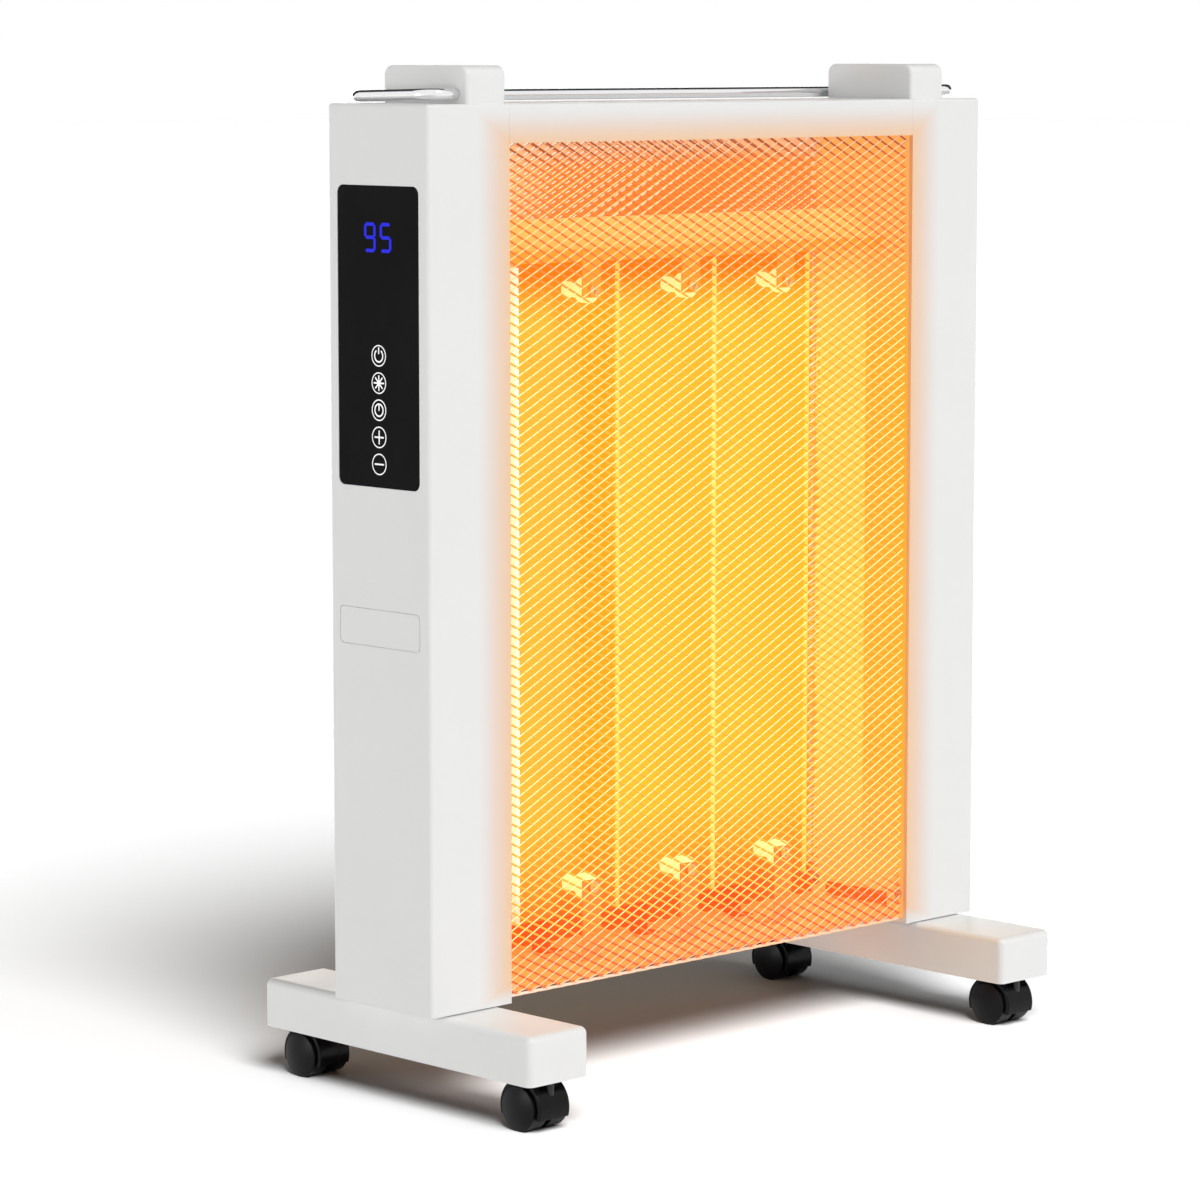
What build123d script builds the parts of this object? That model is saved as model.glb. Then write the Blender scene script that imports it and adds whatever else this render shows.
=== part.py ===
from build123d import *
import os
from math import degrees, pi, radians, sqrt, tan

# Free-standing convection heater: two end columns on castered feet, a top beam with a swing-over
# towel rail, open mesh grilles front and back, and three mica heating panels between them.
# Millimetres. The origin is on the floor under the middle of the heater. +X runs along the heater,
# to the right as seen from the front. The front faces -Y. +Z is up.

# Driving dimensions of the body
overall_width = 502.0
column_width = 67.0
column_depth = 92.0
column_height = 560.0
column_wall = 3.0
edge_round = 2.2
ground_clearance = 32.2
seat_gap = 0.8
beam_height = 24.0
beam_wall = 2.4
seam_gap = 0.1
sheet = 1.0

# Air slots in the top beam
slot_count = 27
slot_pitch = 12.0
slot_length = 54.0
slot_width = 5.6

# Sheet walls on the inner sides of the columns, and their screws
plate_gap = 0.3
plate_side_gap = 0.2
plate_step_y = -4.3
plate_step = 1.5
plate_hole_radius = 1.7
plate_screw_y = 38.8
plate_screw_heights = [84.0, 606.0]
plate_screw_radius = 1.5
plate_screw_length = 14.0
plate_head_radius = 3.0
plate_head_height = 1.3
plate_boss_radius = 4.4
plate_boss_bore = 1.55
plate_boss_setback = 3.0
plate_boss_length = 17.0
plate_bore_length = 15.0

# Feet
foot_width = 50.5
foot_length = 249.0
foot_height = 31.0
foot_wall = 2.5
foot_roof = 3.0
foot_round = 4.5
foot_rib = 2.0
foot_rib_lift = 8.0
foot_rib_places = [-85.0, -52.0, 0.0, 52.0, 85.0]
foot_pad_inset = 5.0
foot_pad_end_inset = 4.0
foot_screw_y = 30.0
foot_screw_radius = 2.5
foot_screw_reach = 13.0
foot_boss_radius = 5.5
foot_boss_lift = 4.0
foot_boss_bore = 2.7
foot_head_radius = 4.6
foot_head_sink = 0.8
foot_drive_depth = 1.3
foot_drive_length = 6.5
column_boss_height = 14.0
column_boss_bore = 2.55

# Rail blocks and towel rail
block_width = 32.2
block_height = 23.2
block_front_y = -43.3
block_back_y = 33.0
block_corner = 6.5
block_edge = 2.2
block_wall = 2.5
block_side_step = 0.5
bearing_half_size = 7.5
rail_radius = 3.5
rail_reach = 72.0
rail_arm_x = 238.5
rail_bend = 11.0
rail_pivot_y = -33.0
rail_pivot_lift = 6.0
rail_rest_drop = 1.6
rail_end_x = 198.0
running_gap = 0.05
bush_radius = 5.5
bush_length = 11.0
clip_radius = 5.0
clip_width = 1.2
clip_side_gap = 0.05
clip_bore_gap = 0.03
clip_groove_depth = 0.6
clip_offset = 0.4
rest_pad_radius = 2.5
rest_pad_x = 206.0
rest_pad_gap = 0.3

# Touch panel and badge on the outer face of the left column
glass_width = 74.5
glass_height = 184.5
glass_corner = 5.0
glass_thickness = 2.0
glass_sink = 0.1
glass_gap = 0.15
glass_bevel = 0.25
glass_shelf = 3.0
glass_centre_y = 0.25
glass_bottom = 326.0
badge_width = 73.3
badge_height = 22.6
badge_corner = 3.0
badge_thickness = 0.9
badge_gap = 0.45
badge_centre_y = 0.35
badge_bottom = 227.4

# Display, touch board and key pads behind the glass, by height over the column's foot
key_heights = [406.9, 390.2, 373.6, 356.9, 340.3]
key_pad_radius = 5.0
digits_height = 479.0
digit_pitch = 14.4
digit_window_width = 11.2
digit_window_height = 19.2
digit_window_depth = 1.0
display_width = 38.0
display_height = 26.0
behind_glass = 0.2
board_thickness = 1.6
touch_board_setback = 11.0
touch_board_width = 66.0
touch_board_inset = 4.0
touch_board_hole = 1.6
board_hole_inset = 4.0

# Power board and what it carries
power_board_x = -222.0
power_board_width = 68.0
power_board_z0 = 120.0
power_board_z1 = 270.0
power_post_radius = 3.5
power_post_bore = 1.2
power_post_floor = 4.0
relay_size = (16.0, 16.0, 20.0)
relay_places = [(-16.0, 196.0), (8.0, 196.0)]
capacitor_radius = 6.5
capacitor_y = -20.0
transformer_size = (18.0, 26.0, 28.0)
transformer_place = (2.0, 226.0)
upper_row_z = 226.0
capacitor_height = 24.0
terminal_size = (12.0, 20.0, 14.0)
terminal_place = (12.0, 132.0)
terminal_pitch = 7.0
terminal_bore = 1.9
terminal_bore_depth = 7.0
terminal_first = 7.0

# Leads to the first panel, and their grommet in the inner plate
harness_y = 24.0
harness_z = 100.0
wire_radius = 1.4
wire_spacing = 3.4
lead_bends = [7.0, 14.0, 30.0, 22.0]
lead_drop = 20.0
lead_straight = (-200.0, -172.0)
lead_sag = (-140.0, 16.0, 3.0, 2.0)
lead_end_y = 9.0
lead_eye_x = -120.0
lead_eye_z = 108.0
lead_eye_pitch = 12.0
lead_eye_radius = 3.2
lead_eye_depth = 2.4
lead_eye_tab = (2.0, 4.0, 3.0)
grommet_neck = 5.0
grommet_lip = 2.0
grommet_wall = 1.4

# Inlet bush, cut-out, sensor and tip-over switch
cord_gland_z = 100.0
cord_gland_body = 7.0
cord_gland_bore = 3.8
cord_gland_flange = 2.5
cord_gland_lip = 3.0
cord_gland_nut_lip = 4.0
cord_gland_nut = 4.0
cutout_radius = 8.0
cutout_y = 24.0
cutout_z = 500.0
cutout_flange = 3.0
sensor_place = (-240.0, 30.0)
sensor_size = 8.0
sensor_height = 10.0
switch_x = (-232.0, -204.0)
switch_y = (-16.0, 6.0)
switch_height = 26.0
switch_foot = 4.0
switch_foot_height = 2.5

# Grilles
grille_recess = 3.0
grille_sheet = 1.0
grille_half_width = 183.0
grille_top = 612.0
grille_foot = 65.7
grille_curl = 8.0
grille_lip = 4.0
grille_return = 9.0
grille_return_inset = 1.5
diamond_width = 45.6
diamond_height = 26.8
strand_width = 2.0

# Heating panels, between the two grilles, by height over the column's foot
panel_plane_y = 4.0
panel_pitch = 89.0
panel_bottom = 36.5
panel_top = 464.0
panel_thickness = 2.0
channel_top = 456.5
channel_width = 3.4
channel_depth = 4.0
channel_web = 0.6
channel_play = 0.1

# Cross member over the panels: half of its profile, as distance from the panels' plane and height
member_profile = [(23.0, 460.0), (23.0, 467.4), (14.0, 472.4), (5.0, 481.3), (5.0, 486.5)]
member_end_gap = 0.3
member_tab_depth = 24.0
member_tab = (461.0, 475.0)

# Straps, brackets, insulators and their screws
hanger_setback = 23.0
hanger_width = 16.0
hanger_upper_z = 441.6
hanger_lower_z = 58.8
hanger_reach = 4.6
hanger_top = 467.0
hanger_foot = 12.0
insulator_radius = 8.2
insulator_head = 7.8
insulator_round = 0.8
insulator_neck = 5.0
stud_radius = 2.0
stud_hole = 2.2
stud_head_radius = 3.8
stud_head_height = 2.6
stud_slot = (4.6, 0.9)
stud_slot_depth = 1.0
stud_end = 5.0
nut_radius = 4.0
nut_height = 3.2
nut_play = 0.03

# Bottom tray
tray_lift = 10.6
tray_half_depth = 41.2
tray_flange_y = 38.0
tray_flange = 5.0
tray_tab_y = 28.0
tray_tab = 10.0
tray_upstand_x = 181.0
tray_upstand_top = 97.0

# Casters
wheel_radius = 14.3
wheel_inner_x = 2.0
wheel_rim_x = 14.6
wheel_dome_x = 17.0
wheel_edge = 0.5
axle_radius = 1.5
axle_half_length = 12.6
axle_end_gap = 0.4
hood_radius = 18.0
hood_inner_radius = 15.0
hood_half_width = 12.5
hood_round = 0.7
hood_foot_z = 8.6
hood_top_z = 31.4
web_half_width = 1.5
caster_y = 102.5
caster_trail = 13.5
stem_radius = 2.5
stem_top_z = 56.4
stem_step_z = 22.8
stem_pin_radius = 1.2
stem_pin_z = 12.5
stem_collar_radius = 4.0
stem_collar = (0.8, 0.1)
stem_head_radius = 3.4
stem_head_height = 1.8
socket_radius = 6.5
socket_step_radius = 3.8
socket_step_gap = 0.4
fixed_gap = 0.02

# How far a cutting shape runs past what it cuts, and how far a piece runs into what it grows from
cut = 1.0
weld = 0.5

# Places that follow from the dimensions above
half_width = overall_width / 2
inner_x = half_width - column_width
column_x = half_width - column_width / 2
half_depth = column_depth / 2
foot_top = ground_clearance + foot_height
column_bottom = foot_top
column_top = column_bottom + column_height
column_floor = column_bottom + seat_gap + column_wall
block_outer_x = inner_x + block_side_step + block_width
rail_pivot_z = column_top + rail_pivot_lift
clip_x = block_outer_x - block_wall - bush_length - clip_offset - clip_width / 2
stem_y = caster_y + caster_trail
panel_centres = [-panel_pitch, 0.0, panel_pitch]
panel_edges = [(i - 1.5) * panel_pitch for i in range(4)]
panel_front_y = panel_plane_y - panel_thickness / 2
panel_back_y = panel_plane_y + panel_thickness / 2
hanger_planes = [panel_plane_y + side * (hanger_setback + sheet / 2) for side in (-1, 1)]
insulator_heights = [column_bottom + hanger_upper_z, column_bottom + hanger_lower_z]
tray_top = column_bottom + tray_lift
glass_z = column_bottom + glass_bottom + glass_height / 2
glass_back_x = -half_width + glass_sink + glass_thickness
badge_z = column_bottom + badge_bottom + badge_height / 2
touch_board_x = -half_width + touch_board_setback
plate_screw_places = [(y, z) for y in (-plate_screw_y, plate_screw_y) for z in plate_screw_heights]
corners = {
    "front_left": (-1, -1),
    "front_right": (1, -1),
    "rear_left": (-1, 1),
    "rear_right": (1, 1),
}


def box_between(x0, x1, y0, y1, z0, z1):
    """A box given by its faces along each axis."""
    middle = Pos((x0 + x1) / 2, (y0 + y1) / 2, (z0 + z1) / 2)
    return middle * Box(abs(x1 - x0), abs(y1 - y0), abs(z1 - z0))


def rod_x(radius, x0, x1, y, z):
    return Pos((x0 + x1) / 2, y, z) * Rot(0, 90, 0) * Cylinder(radius, abs(x1 - x0))


def rod_y(radius, y0, y1, x, z):
    return Pos(x, (y0 + y1) / 2, z) * Rot(90, 0, 0) * Cylinder(radius, abs(y1 - y0))


def rod_z(radius, z0, z1, x, y):
    return Pos(x, y, (z0 + z1) / 2) * Cylinder(radius, abs(z1 - z0))


def group(pieces):
    """Several separate solids that share one node."""
    return Compound([solid for piece in pieces for solid in piece.solids()])


def mirrored(piece):
    return mirror(piece, about=Plane.YZ)


def side_plate(width, height, corner, x0, x1, y, z):
    """A rounded rectangle in the YZ plane, centred at (y, z), between x0 and x1."""
    plane = Plane(origin=(x0, y, z), x_dir=(0, 1, 0), z_dir=(1, 0, 0))
    return extrude(plane * RectangleRounded(width, height, corner), x1 - x0)


# End columns

def column_casing():
    """Left end column: closed all round except on its inner side, which the inner plate covers."""
    x0, x1 = -half_width, -inner_x
    z0 = column_bottom + seat_gap
    outer = box_between(x0, x1, -half_depth, half_depth, z0, column_top)
    upright = outer.edges().filter_by(Axis.Z).group_by(Axis.X)[0]
    rim = outer.faces().sort_by(Axis.Z)[-1].edges().sort_by(Axis.X)[:-1]
    outer = fillet(list(upright) + list(rim), edge_round)
    casing = outer - box_between(
        x0 + column_wall, x1 + cut, -half_depth + column_wall, half_depth - column_wall,
        column_floor, column_top - column_wall)
    boss_top = z0 + column_boss_height
    for y in (-foot_screw_y, foot_screw_y):
        casing += rod_z(foot_boss_radius, column_floor - weld, boss_top, -column_x, y)
    for y in (-foot_screw_y, foot_screw_y):
        casing -= rod_z(column_boss_bore, z0 - cut, boss_top + cut, -column_x, y)
    boss_face = x1 - plate_boss_setback
    for y, z in plate_screw_places:
        casing += rod_x(plate_boss_radius, boss_face - plate_boss_length, boss_face, y, z)
        casing -= rod_x(plate_boss_bore, boss_face - plate_bore_length, boss_face + cut, y, z)
    return casing


def left_column_shell():
    """The left column also holds the touch panel, the badge plate and the cord inlet."""
    casing = column_casing()
    outside = -half_width - cut
    casing -= side_plate(
        glass_width + 2 * glass_gap, glass_height + 2 * glass_gap, glass_corner + glass_gap,
        outside, glass_back_x, glass_centre_y, glass_z)
    casing -= side_plate(
        glass_width - 2 * glass_shelf, glass_height - 2 * glass_shelf, glass_corner,
        outside, -half_width + column_wall + cut, glass_centre_y, glass_z)
    casing -= side_plate(
        badge_width + 2 * badge_gap, badge_height + 2 * badge_gap, badge_corner + badge_gap,
        outside, -half_width + badge_thickness, badge_centre_y, badge_z)
    return casing - rod_y(
        cord_gland_body, half_depth - column_wall - cut, half_depth + cut, -column_x, cord_gland_z)


def right_column_shell():
    return mirrored(column_casing())


def inner_plate():
    """Sheet wall on the inner side of the left column, set back in its rear half."""
    y1 = half_depth - column_wall - plate_side_gap
    front_x, rear_x = -inner_x, -inner_x - plate_step
    step_end_y = plate_step_y + plate_step
    fold_shift = sheet * tan(radians(22.5))
    outline = Polyline(
        (front_x, -y1), (front_x, plate_step_y), (rear_x, step_end_y), (rear_x, y1),
        (rear_x - sheet, y1), (rear_x - sheet, step_end_y - fold_shift),
        (front_x - sheet, plate_step_y - fold_shift), (front_x - sheet, -y1), close=True)
    z0 = column_floor + plate_gap
    z1 = column_top - column_wall - plate_gap
    plate = Pos(0, 0, z0) * extrude(make_face(outline), z1 - z0)
    for y, z in plate_screw_places:
        plate -= plate_hole(plate_hole_radius, y, z)
    return plate


def plate_hole(radius, y, z):
    """A rod that opens a round hole in the left inner plate, at either of its depths."""
    return rod_x(radius, -inner_x - plate_step - sheet - cut, -inner_x + cut, y, z)


def left_inner_plate():
    plate = inner_plate()
    plate -= plate_hole(grommet_neck, harness_y, harness_z)
    plate -= plate_hole(cutout_radius + plate_side_gap, cutout_y, cutout_z)
    return plate


def plate_screws():
    """Pan head screws that hold the two inner plates."""
    left = []
    for y, z in plate_screw_places:
        seat_x = -inner_x - (plate_step if y > 0 else 0.0)
        head = rod_x(plate_head_radius, seat_x, seat_x + plate_head_height, y, z)
        left.append(head + rod_x(plate_screw_radius, seat_x - plate_screw_length, seat_x, y, z))
    return group(left + [mirrored(screw) for screw in left])


# Feet

def left_foot():
    """Moulded foot bar, open underneath, with ribs, screw bosses and two caster sockets."""
    x, z0 = -column_x, ground_clearance
    bar = Pos(x, 0, z0 + foot_height / 2) * Box(foot_width, foot_length, foot_height)
    top_edges = bar.faces().sort_by(Axis.Z)[-1].edges()
    bar = fillet(list(bar.edges().filter_by(Axis.Z)) + list(top_edges), foot_round)
    half_w, half_l = foot_width / 2 - foot_wall, foot_length / 2 - foot_wall
    roof = foot_top - foot_roof
    bar -= box_between(x - half_w, x + half_w, -half_l, half_l, z0 - cut, roof)
    rib_z0, rib_z1 = z0 + foot_rib_lift, roof + weld
    bar += box_between(x - foot_rib / 2, x + foot_rib / 2, -half_l - weld, half_l + weld, rib_z0, rib_z1)
    for y in foot_rib_places:
        bar += box_between(
            x - half_w - weld, x + half_w + weld, y - foot_rib / 2, y + foot_rib / 2, rib_z0, rib_z1)
    bar += box_between(
        x - foot_width / 2 + foot_pad_inset, x + foot_width / 2 - foot_pad_inset,
        -half_depth + foot_pad_end_inset, half_depth - foot_pad_end_inset,
        foot_top - weld, foot_top + seat_gap)
    for y in (-foot_screw_y, foot_screw_y):
        bar += rod_z(foot_boss_radius, z0 + foot_boss_lift, rib_z1, x, y)
        bar -= rod_z(foot_boss_bore, z0, foot_top + seat_gap + cut, x, y)
    step_z0 = stem_top_z - stem_head_height - socket_step_gap
    for y in (-stem_y, stem_y):
        bar += rod_z(socket_radius, z0, rib_z1, x, y)
        bar -= rod_z(stem_radius + running_gap, z0 - cut, roof, x, y)
        bar -= rod_z(socket_step_radius, step_z0, stem_top_z + cut, x, y)
    return bar


def foot_screws():
    """Screws that go up through each foot into its column."""
    head_z0 = ground_clearance + foot_head_sink
    head_z1 = ground_clearance + foot_boss_lift
    drive_z = head_z0 + foot_drive_depth / 2
    screws = []
    for x in (-column_x, column_x):
        for y in (-foot_screw_y, foot_screw_y):
            head = rod_z(foot_head_radius, head_z0, head_z1, x, y)
            socket = Pos(x, y, drive_z) * (
                Box(foot_drive_length, foot_drive_depth, foot_drive_depth)
                + Box(foot_drive_depth, foot_drive_length, foot_drive_depth))
            shank = rod_z(foot_screw_radius, head_z1, foot_top + foot_screw_reach, x, y)
            screws.append(head - socket + shank)
    return group(screws)


# Top beam, rail blocks and towel rail

def top_beam():
    """Folded beam between the columns, open below, with a row of air slots in its top."""
    half_length = inner_x - seam_gap
    z0 = column_top - beam_height
    beam = box_between(-half_length, half_length, -half_depth, half_depth, z0, column_top)
    long_edges = beam.faces().sort_by(Axis.Z)[-1].edges().filter_by(Axis.X)
    beam = fillet(list(long_edges), edge_round)
    inside = half_depth - beam_wall
    beam -= box_between(
        -half_length - cut, half_length + cut, -inside, inside, z0 - cut, column_top - beam_wall)
    slot = Rot(0, 0, 90) * SlotOverall(slot_length, slot_width)
    first_x = -(slot_count - 1) / 2 * slot_pitch
    slots = Sketch() + [Pos(first_x + i * slot_pitch, 0) * slot for i in range(slot_count)]
    return beam - Pos(0, 0, column_top - beam_wall - cut) * extrude(slots, beam_wall + 2 * cut)


def left_rail_block():
    """Hollow block on top of the left column, with a bearing for the end of the towel rail."""
    x0, x1 = -block_outer_x, -block_outer_x + block_width
    depth = block_back_y - block_front_y
    middle_y = (block_back_y + block_front_y) / 2
    middle_z = column_top + block_height / 2
    side = Plane(origin=(x0, middle_y, middle_z), x_dir=(0, 1, 0), z_dir=(1, 0, 0))
    outline = Rectangle(depth, block_height)
    outline = fillet(outline.vertices().group_by(Axis.Y)[-1], block_corner)
    block = extrude(side * outline, block_width)
    rims = [edge for face in block.faces().filter_by(Axis.X) for edge in face.edges()]
    block = fillet([edge for edge in rims if edge.center().Z > column_top + cut], block_edge)
    inner = Rectangle(depth - 2 * block_wall, block_height)
    inner = fillet(inner.vertices().group_by(Axis.Y)[-1], block_corner - block_wall)
    hollow_plane = Plane(
        origin=(x0 + block_wall, middle_y, middle_z - block_wall), x_dir=(0, 1, 0), z_dir=(1, 0, 0))
    block -= extrude(hollow_plane * inner, block_width - 2 * block_wall)
    bearing_end = x0 + block_wall + bush_length
    block += box_between(
        x0 + block_wall - weld, bearing_end, rail_pivot_y - bearing_half_size,
        rail_pivot_y + bearing_half_size, column_top, rail_pivot_z + bearing_half_size)
    block -= rod_x(rail_radius + 2 * running_gap, x0 - cut, bearing_end, rail_pivot_y, rail_pivot_z)
    return block - rod_x(bush_radius, x0 + block_wall, bearing_end + cut, rail_pivot_y, rail_pivot_z)


def rail_pivot_bushes():
    """Bearing bushes inside the rail blocks."""
    x0 = -block_outer_x + block_wall
    bush = rod_x(bush_radius, x0, x0 + bush_length, rail_pivot_y, rail_pivot_z)
    bush -= rod_x(rail_radius + running_gap, x0 - cut, x0 + bush_length + cut, rail_pivot_y, rail_pivot_z)
    return group([bush, mirrored(bush)])


def towel_rail():
    """One bent rod: a stub in each block, two arms, and the long bar behind the blocks."""
    corner_points = [
        (-rail_end_x, 0), (-rail_arm_x, 0), (-rail_arm_x, rail_reach),
        (rail_arm_x, rail_reach), (rail_arm_x, 0), (rail_end_x, 0)]
    path = FilletPolyline(*corner_points, radius=rail_bend)
    start = Plane(origin=(-rail_end_x, 0, 0), z_dir=(-1, 0, 0))
    rod = sweep(start * Circle(rail_radius), path=path)
    for groove_x in (-clip_x, clip_x):
        ring = rod_x(rail_radius + cut, groove_x - clip_width / 2, groove_x + clip_width / 2, 0, 0)
        ring -= rod_x(rail_radius - clip_groove_depth, groove_x - clip_width, groove_x + clip_width, 0, 0)
        rod -= ring
    tilt = -degrees(rail_rest_drop / rail_reach)
    return Pos(0, rail_pivot_y, rail_pivot_z) * Rot(tilt, 0, 0) * rod


def rail_clips():
    """Retaining clips on the rail's ends, inside the blocks."""
    half = clip_width / 2 - clip_side_gap
    clip = rod_x(clip_radius, -clip_x - half, -clip_x + half, rail_pivot_y, rail_pivot_z)
    bore = rail_radius - clip_groove_depth + clip_bore_gap
    clip -= rod_x(bore, -clip_x - clip_width, -clip_x + clip_width, rail_pivot_y, rail_pivot_z)
    return group([clip, mirrored(clip)])


def rail_rest_pads():
    """Small pads on the columns that the folded rail comes down on."""
    rail_underside = rail_pivot_z - rail_rest_drop - rail_radius
    y = rail_pivot_y + rail_reach
    pad = rod_z(rest_pad_radius, column_top, rail_underside - rest_pad_gap, -rest_pad_x, y)
    return group([pad, mirrored(pad)])


# Grilles

def diamond_net(width, height):
    """An upright sheet with staggered diamond holes, centred on the origin, with its front at Y 0."""
    half_w = (diamond_width - 2 * strand_width) / 2
    half_h = (diamond_height - 1.25 * strand_width) / 2
    diamond = make_face(Polyline((-half_w, 0), (0, -half_h), (half_w, 0), (0, half_h), close=True))
    columns = int(width // diamond_width)
    rows = int(height // diamond_height)
    centres = []
    for row in range(2 * rows - 1):
        stagger = row % 2
        for column in range(columns - stagger):
            x = (column - (columns - stagger - 1) / 2) * diamond_width
            centres.append((x, (row - (rows - 1)) * diamond_height / 2))
    print("diamond holes in a grille", len(centres))
    holes = [diamond.moved(Location((x, z, 0))).wire() for x, z in centres]
    net = Face(Rectangle(width, height).wire(), holes)
    return extrude(Plane.XZ * net, -grille_sheet)


def front_grille():
    """Mesh sheet behind the column fronts, folded back at its sides and curled under at its foot."""
    y0 = -half_depth + grille_recess
    width = 2 * grille_half_width
    curl_z = grille_foot + grille_curl
    height = grille_top - curl_z
    net = Pos(0, y0, curl_z + height / 2) * diamond_net(width, height)
    curl_y = y0 + grille_curl
    ring = rod_x(grille_curl, -grille_half_width, grille_half_width, curl_y, curl_z)
    ring -= rod_x(grille_curl - grille_sheet, -width, width, curl_y, curl_z)
    curl = ring & box_between(-width, width, y0 - cut, curl_y, grille_foot - cut, curl_z)
    lip = box_between(
        -grille_half_width, grille_half_width, curl_y - seam_gap, curl_y + grille_lip,
        grille_foot, grille_foot + grille_sheet)
    side_x = grille_half_width - grille_return_inset
    returns = [
        box_between(
            side * side_x, side * (side_x + grille_sheet), y0 + grille_sheet / 2, y0 + grille_return,
            curl_z + 3 * grille_sheet, grille_top - 2 * grille_sheet)
        for side in (-1, 1)]
    return net + [curl + lip, *returns]


# Heating assembly

def upper_cross_member():
    """Folded sheet saddle over the panels, with a hanger strap down to each insulator."""
    front_half = [(-y, z) for y, z in member_profile]
    rear_half = list(reversed(member_profile))
    face = make_face(Polyline(*front_half, *rear_half, close=True))
    skin = face - offset(face, -sheet, kind=Kind.INTERSECTION)
    flange_y, flange_foot = member_profile[0]
    skin -= Pos(0, flange_foot) * Rectangle(2 * (flange_y - sheet), 4 * sheet)
    half_length = inner_x - member_end_gap
    end = Plane(origin=(-half_length, panel_plane_y, column_bottom), x_dir=(0, 1, 0), z_dir=(1, 0, 0))
    member = extrude(end * skin, 2 * half_length)
    tab_y0, tab_y1 = panel_plane_y - member_tab_depth / 2, panel_plane_y + member_tab_depth / 2
    tab_z0, tab_z1 = (column_bottom + height for height in member_tab)
    for side in (-1, 1):
        member += box_between(
            side * (half_length - sheet), side * half_length, tab_y0, tab_y1, tab_z0, tab_z1)
    hole_z = column_bottom + hanger_upper_z
    for x in panel_centres:
        for y in hanger_planes:
            member += hanger_strap(x, y, hole_z - hanger_reach, column_bottom + hanger_top)
            member -= rod_y(stud_hole, y - cut, y + cut, x, hole_z)
    return member


def hanger_strap(x, y, z0, z1):
    return box_between(x - hanger_width / 2, x + hanger_width / 2, y - sheet / 2, y + sheet / 2, z0, z1)


def lower_hangers():
    """Angle brackets that stand on the tray and hold the lower insulators."""
    brackets = []
    hole_z = column_bottom + hanger_lower_z
    for x in panel_centres:
        for y in hanger_planes:
            inward = 1 if y < panel_plane_y else -1
            bracket = hanger_strap(x, y, tray_top, hole_z + hanger_reach)
            bracket += box_between(
                x - hanger_width / 2, x + hanger_width / 2, y, y + inward * hanger_foot,
                tray_top, tray_top + sheet)
            brackets.append(bracket - rod_y(stud_hole, y - cut, y + cut, x, hole_z))
    return group(brackets)


def bottom_tray():
    """Sheet floor under the panels, with stiffening flanges, end tabs and an upstand at the rear."""
    half_length = inner_x - member_end_gap
    floor_z = tray_top - sheet
    tray = box_between(-half_length, half_length, -tray_half_depth, tray_half_depth, floor_z, tray_top)
    for y in (-tray_flange_y, tray_flange_y):
        tray += box_between(
            -half_length, half_length, y - sheet / 2, y + sheet / 2, tray_top - tray_flange, tray_top)
    for side in (-1, 1):
        tray += box_between(
            side * (half_length - sheet), side * half_length, -tray_tab_y, tray_tab_y,
            floor_z, tray_top + tray_tab)
    return tray + box_between(
        -tray_upstand_x, tray_upstand_x, tray_half_depth - sheet, tray_half_depth,
        floor_z, tray_upstand_top)


def mica_panel(x):
    """Flat mica board that carries the heating wire."""
    half = panel_pitch / 2 - channel_web
    z0, z1 = column_bottom + panel_bottom, column_bottom + panel_top
    board = box_between(x - half, x + half, panel_front_y, panel_back_y, z0, z1)
    for z in insulator_heights:
        board -= rod_y(stud_hole, panel_front_y - cut, panel_back_y + cut, x, z)
    return board


def panel_edge_channels():
    """Upright strips that grip the boards' edges."""
    channels = []
    z0, z1 = column_bottom + panel_bottom, column_bottom + channel_top
    slot = panel_thickness / 2 + channel_play
    for x in panel_edges:
        channel = box_between(
            x - channel_width / 2, x + channel_width / 2, panel_plane_y - channel_depth / 2,
            panel_plane_y + channel_depth / 2, z0, z1)
        for side in (-1, 1):
            if abs(x + side) > panel_edges[-1]:
                continue
            channel -= box_between(
                x + side * channel_web / 2, x + side * channel_width, panel_plane_y - slot,
                panel_plane_y + slot, z0 - cut, z1 + cut)
        channels.append(channel)
    return group(channels)


def ceramic_insulators():
    """Spool insulators in front of and behind each board."""
    spools = []
    for x in panel_centres:
        for z in insulator_heights:
            for side, board_face in ((-1, panel_front_y), (1, panel_back_y)):
                face = panel_plane_y + side * hanger_setback
                shoulder = face - side * insulator_head
                spool = fillet(rod_y(insulator_radius, face, shoulder, x, z).edges(), insulator_round)
                spool += rod_y(insulator_neck, shoulder + side * weld, board_face, x, z)
                spools.append(spool - rod_y(stud_hole, face + side * cut, panel_plane_y, x, z))
    return group(spools)


def insulator_studs():
    """Cross-head screw and nut through each pair of insulators."""
    pieces = []
    front = hanger_planes[0] - sheet / 2
    back = hanger_planes[1] + sheet / 2
    slot_length, slot_breadth = stud_slot
    for x in panel_centres:
        for z in insulator_heights:
            screw = rod_y(stud_head_radius, front - stud_head_height, front, x, z)
            screw += rod_y(stud_radius, front, back + stud_end, x, z)
            screw -= Pos(x, front - stud_head_height, z) * (
                Box(slot_length, 2 * stud_slot_depth, slot_breadth)
                + Box(slot_breadth, 2 * stud_slot_depth, slot_length))
            nut_plane = Plane(origin=(x, back, z), x_dir=(1, 0, 0), z_dir=(0, 1, 0))
            nut_face = RegularPolygon(nut_radius, 6) - Circle(stud_radius + nut_play)
            pieces += [screw, extrude(nut_plane * nut_face, nut_height)]
    return group(pieces)


# Controls and electrics

def touch_panel_glass():
    x0 = glass_back_x - glass_thickness
    glass = side_plate(glass_width, glass_height, glass_corner, x0, glass_back_x, glass_centre_y, glass_z)
    return chamfer(glass.faces().sort_by(Axis.X)[0].edges(), glass_bevel)


def badge_plate():
    """Blank plate let into the outer face of the left column."""
    return side_plate(
        badge_width, badge_height, badge_corner, -half_width, -half_width + badge_thickness,
        badge_centre_y, badge_z)


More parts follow.
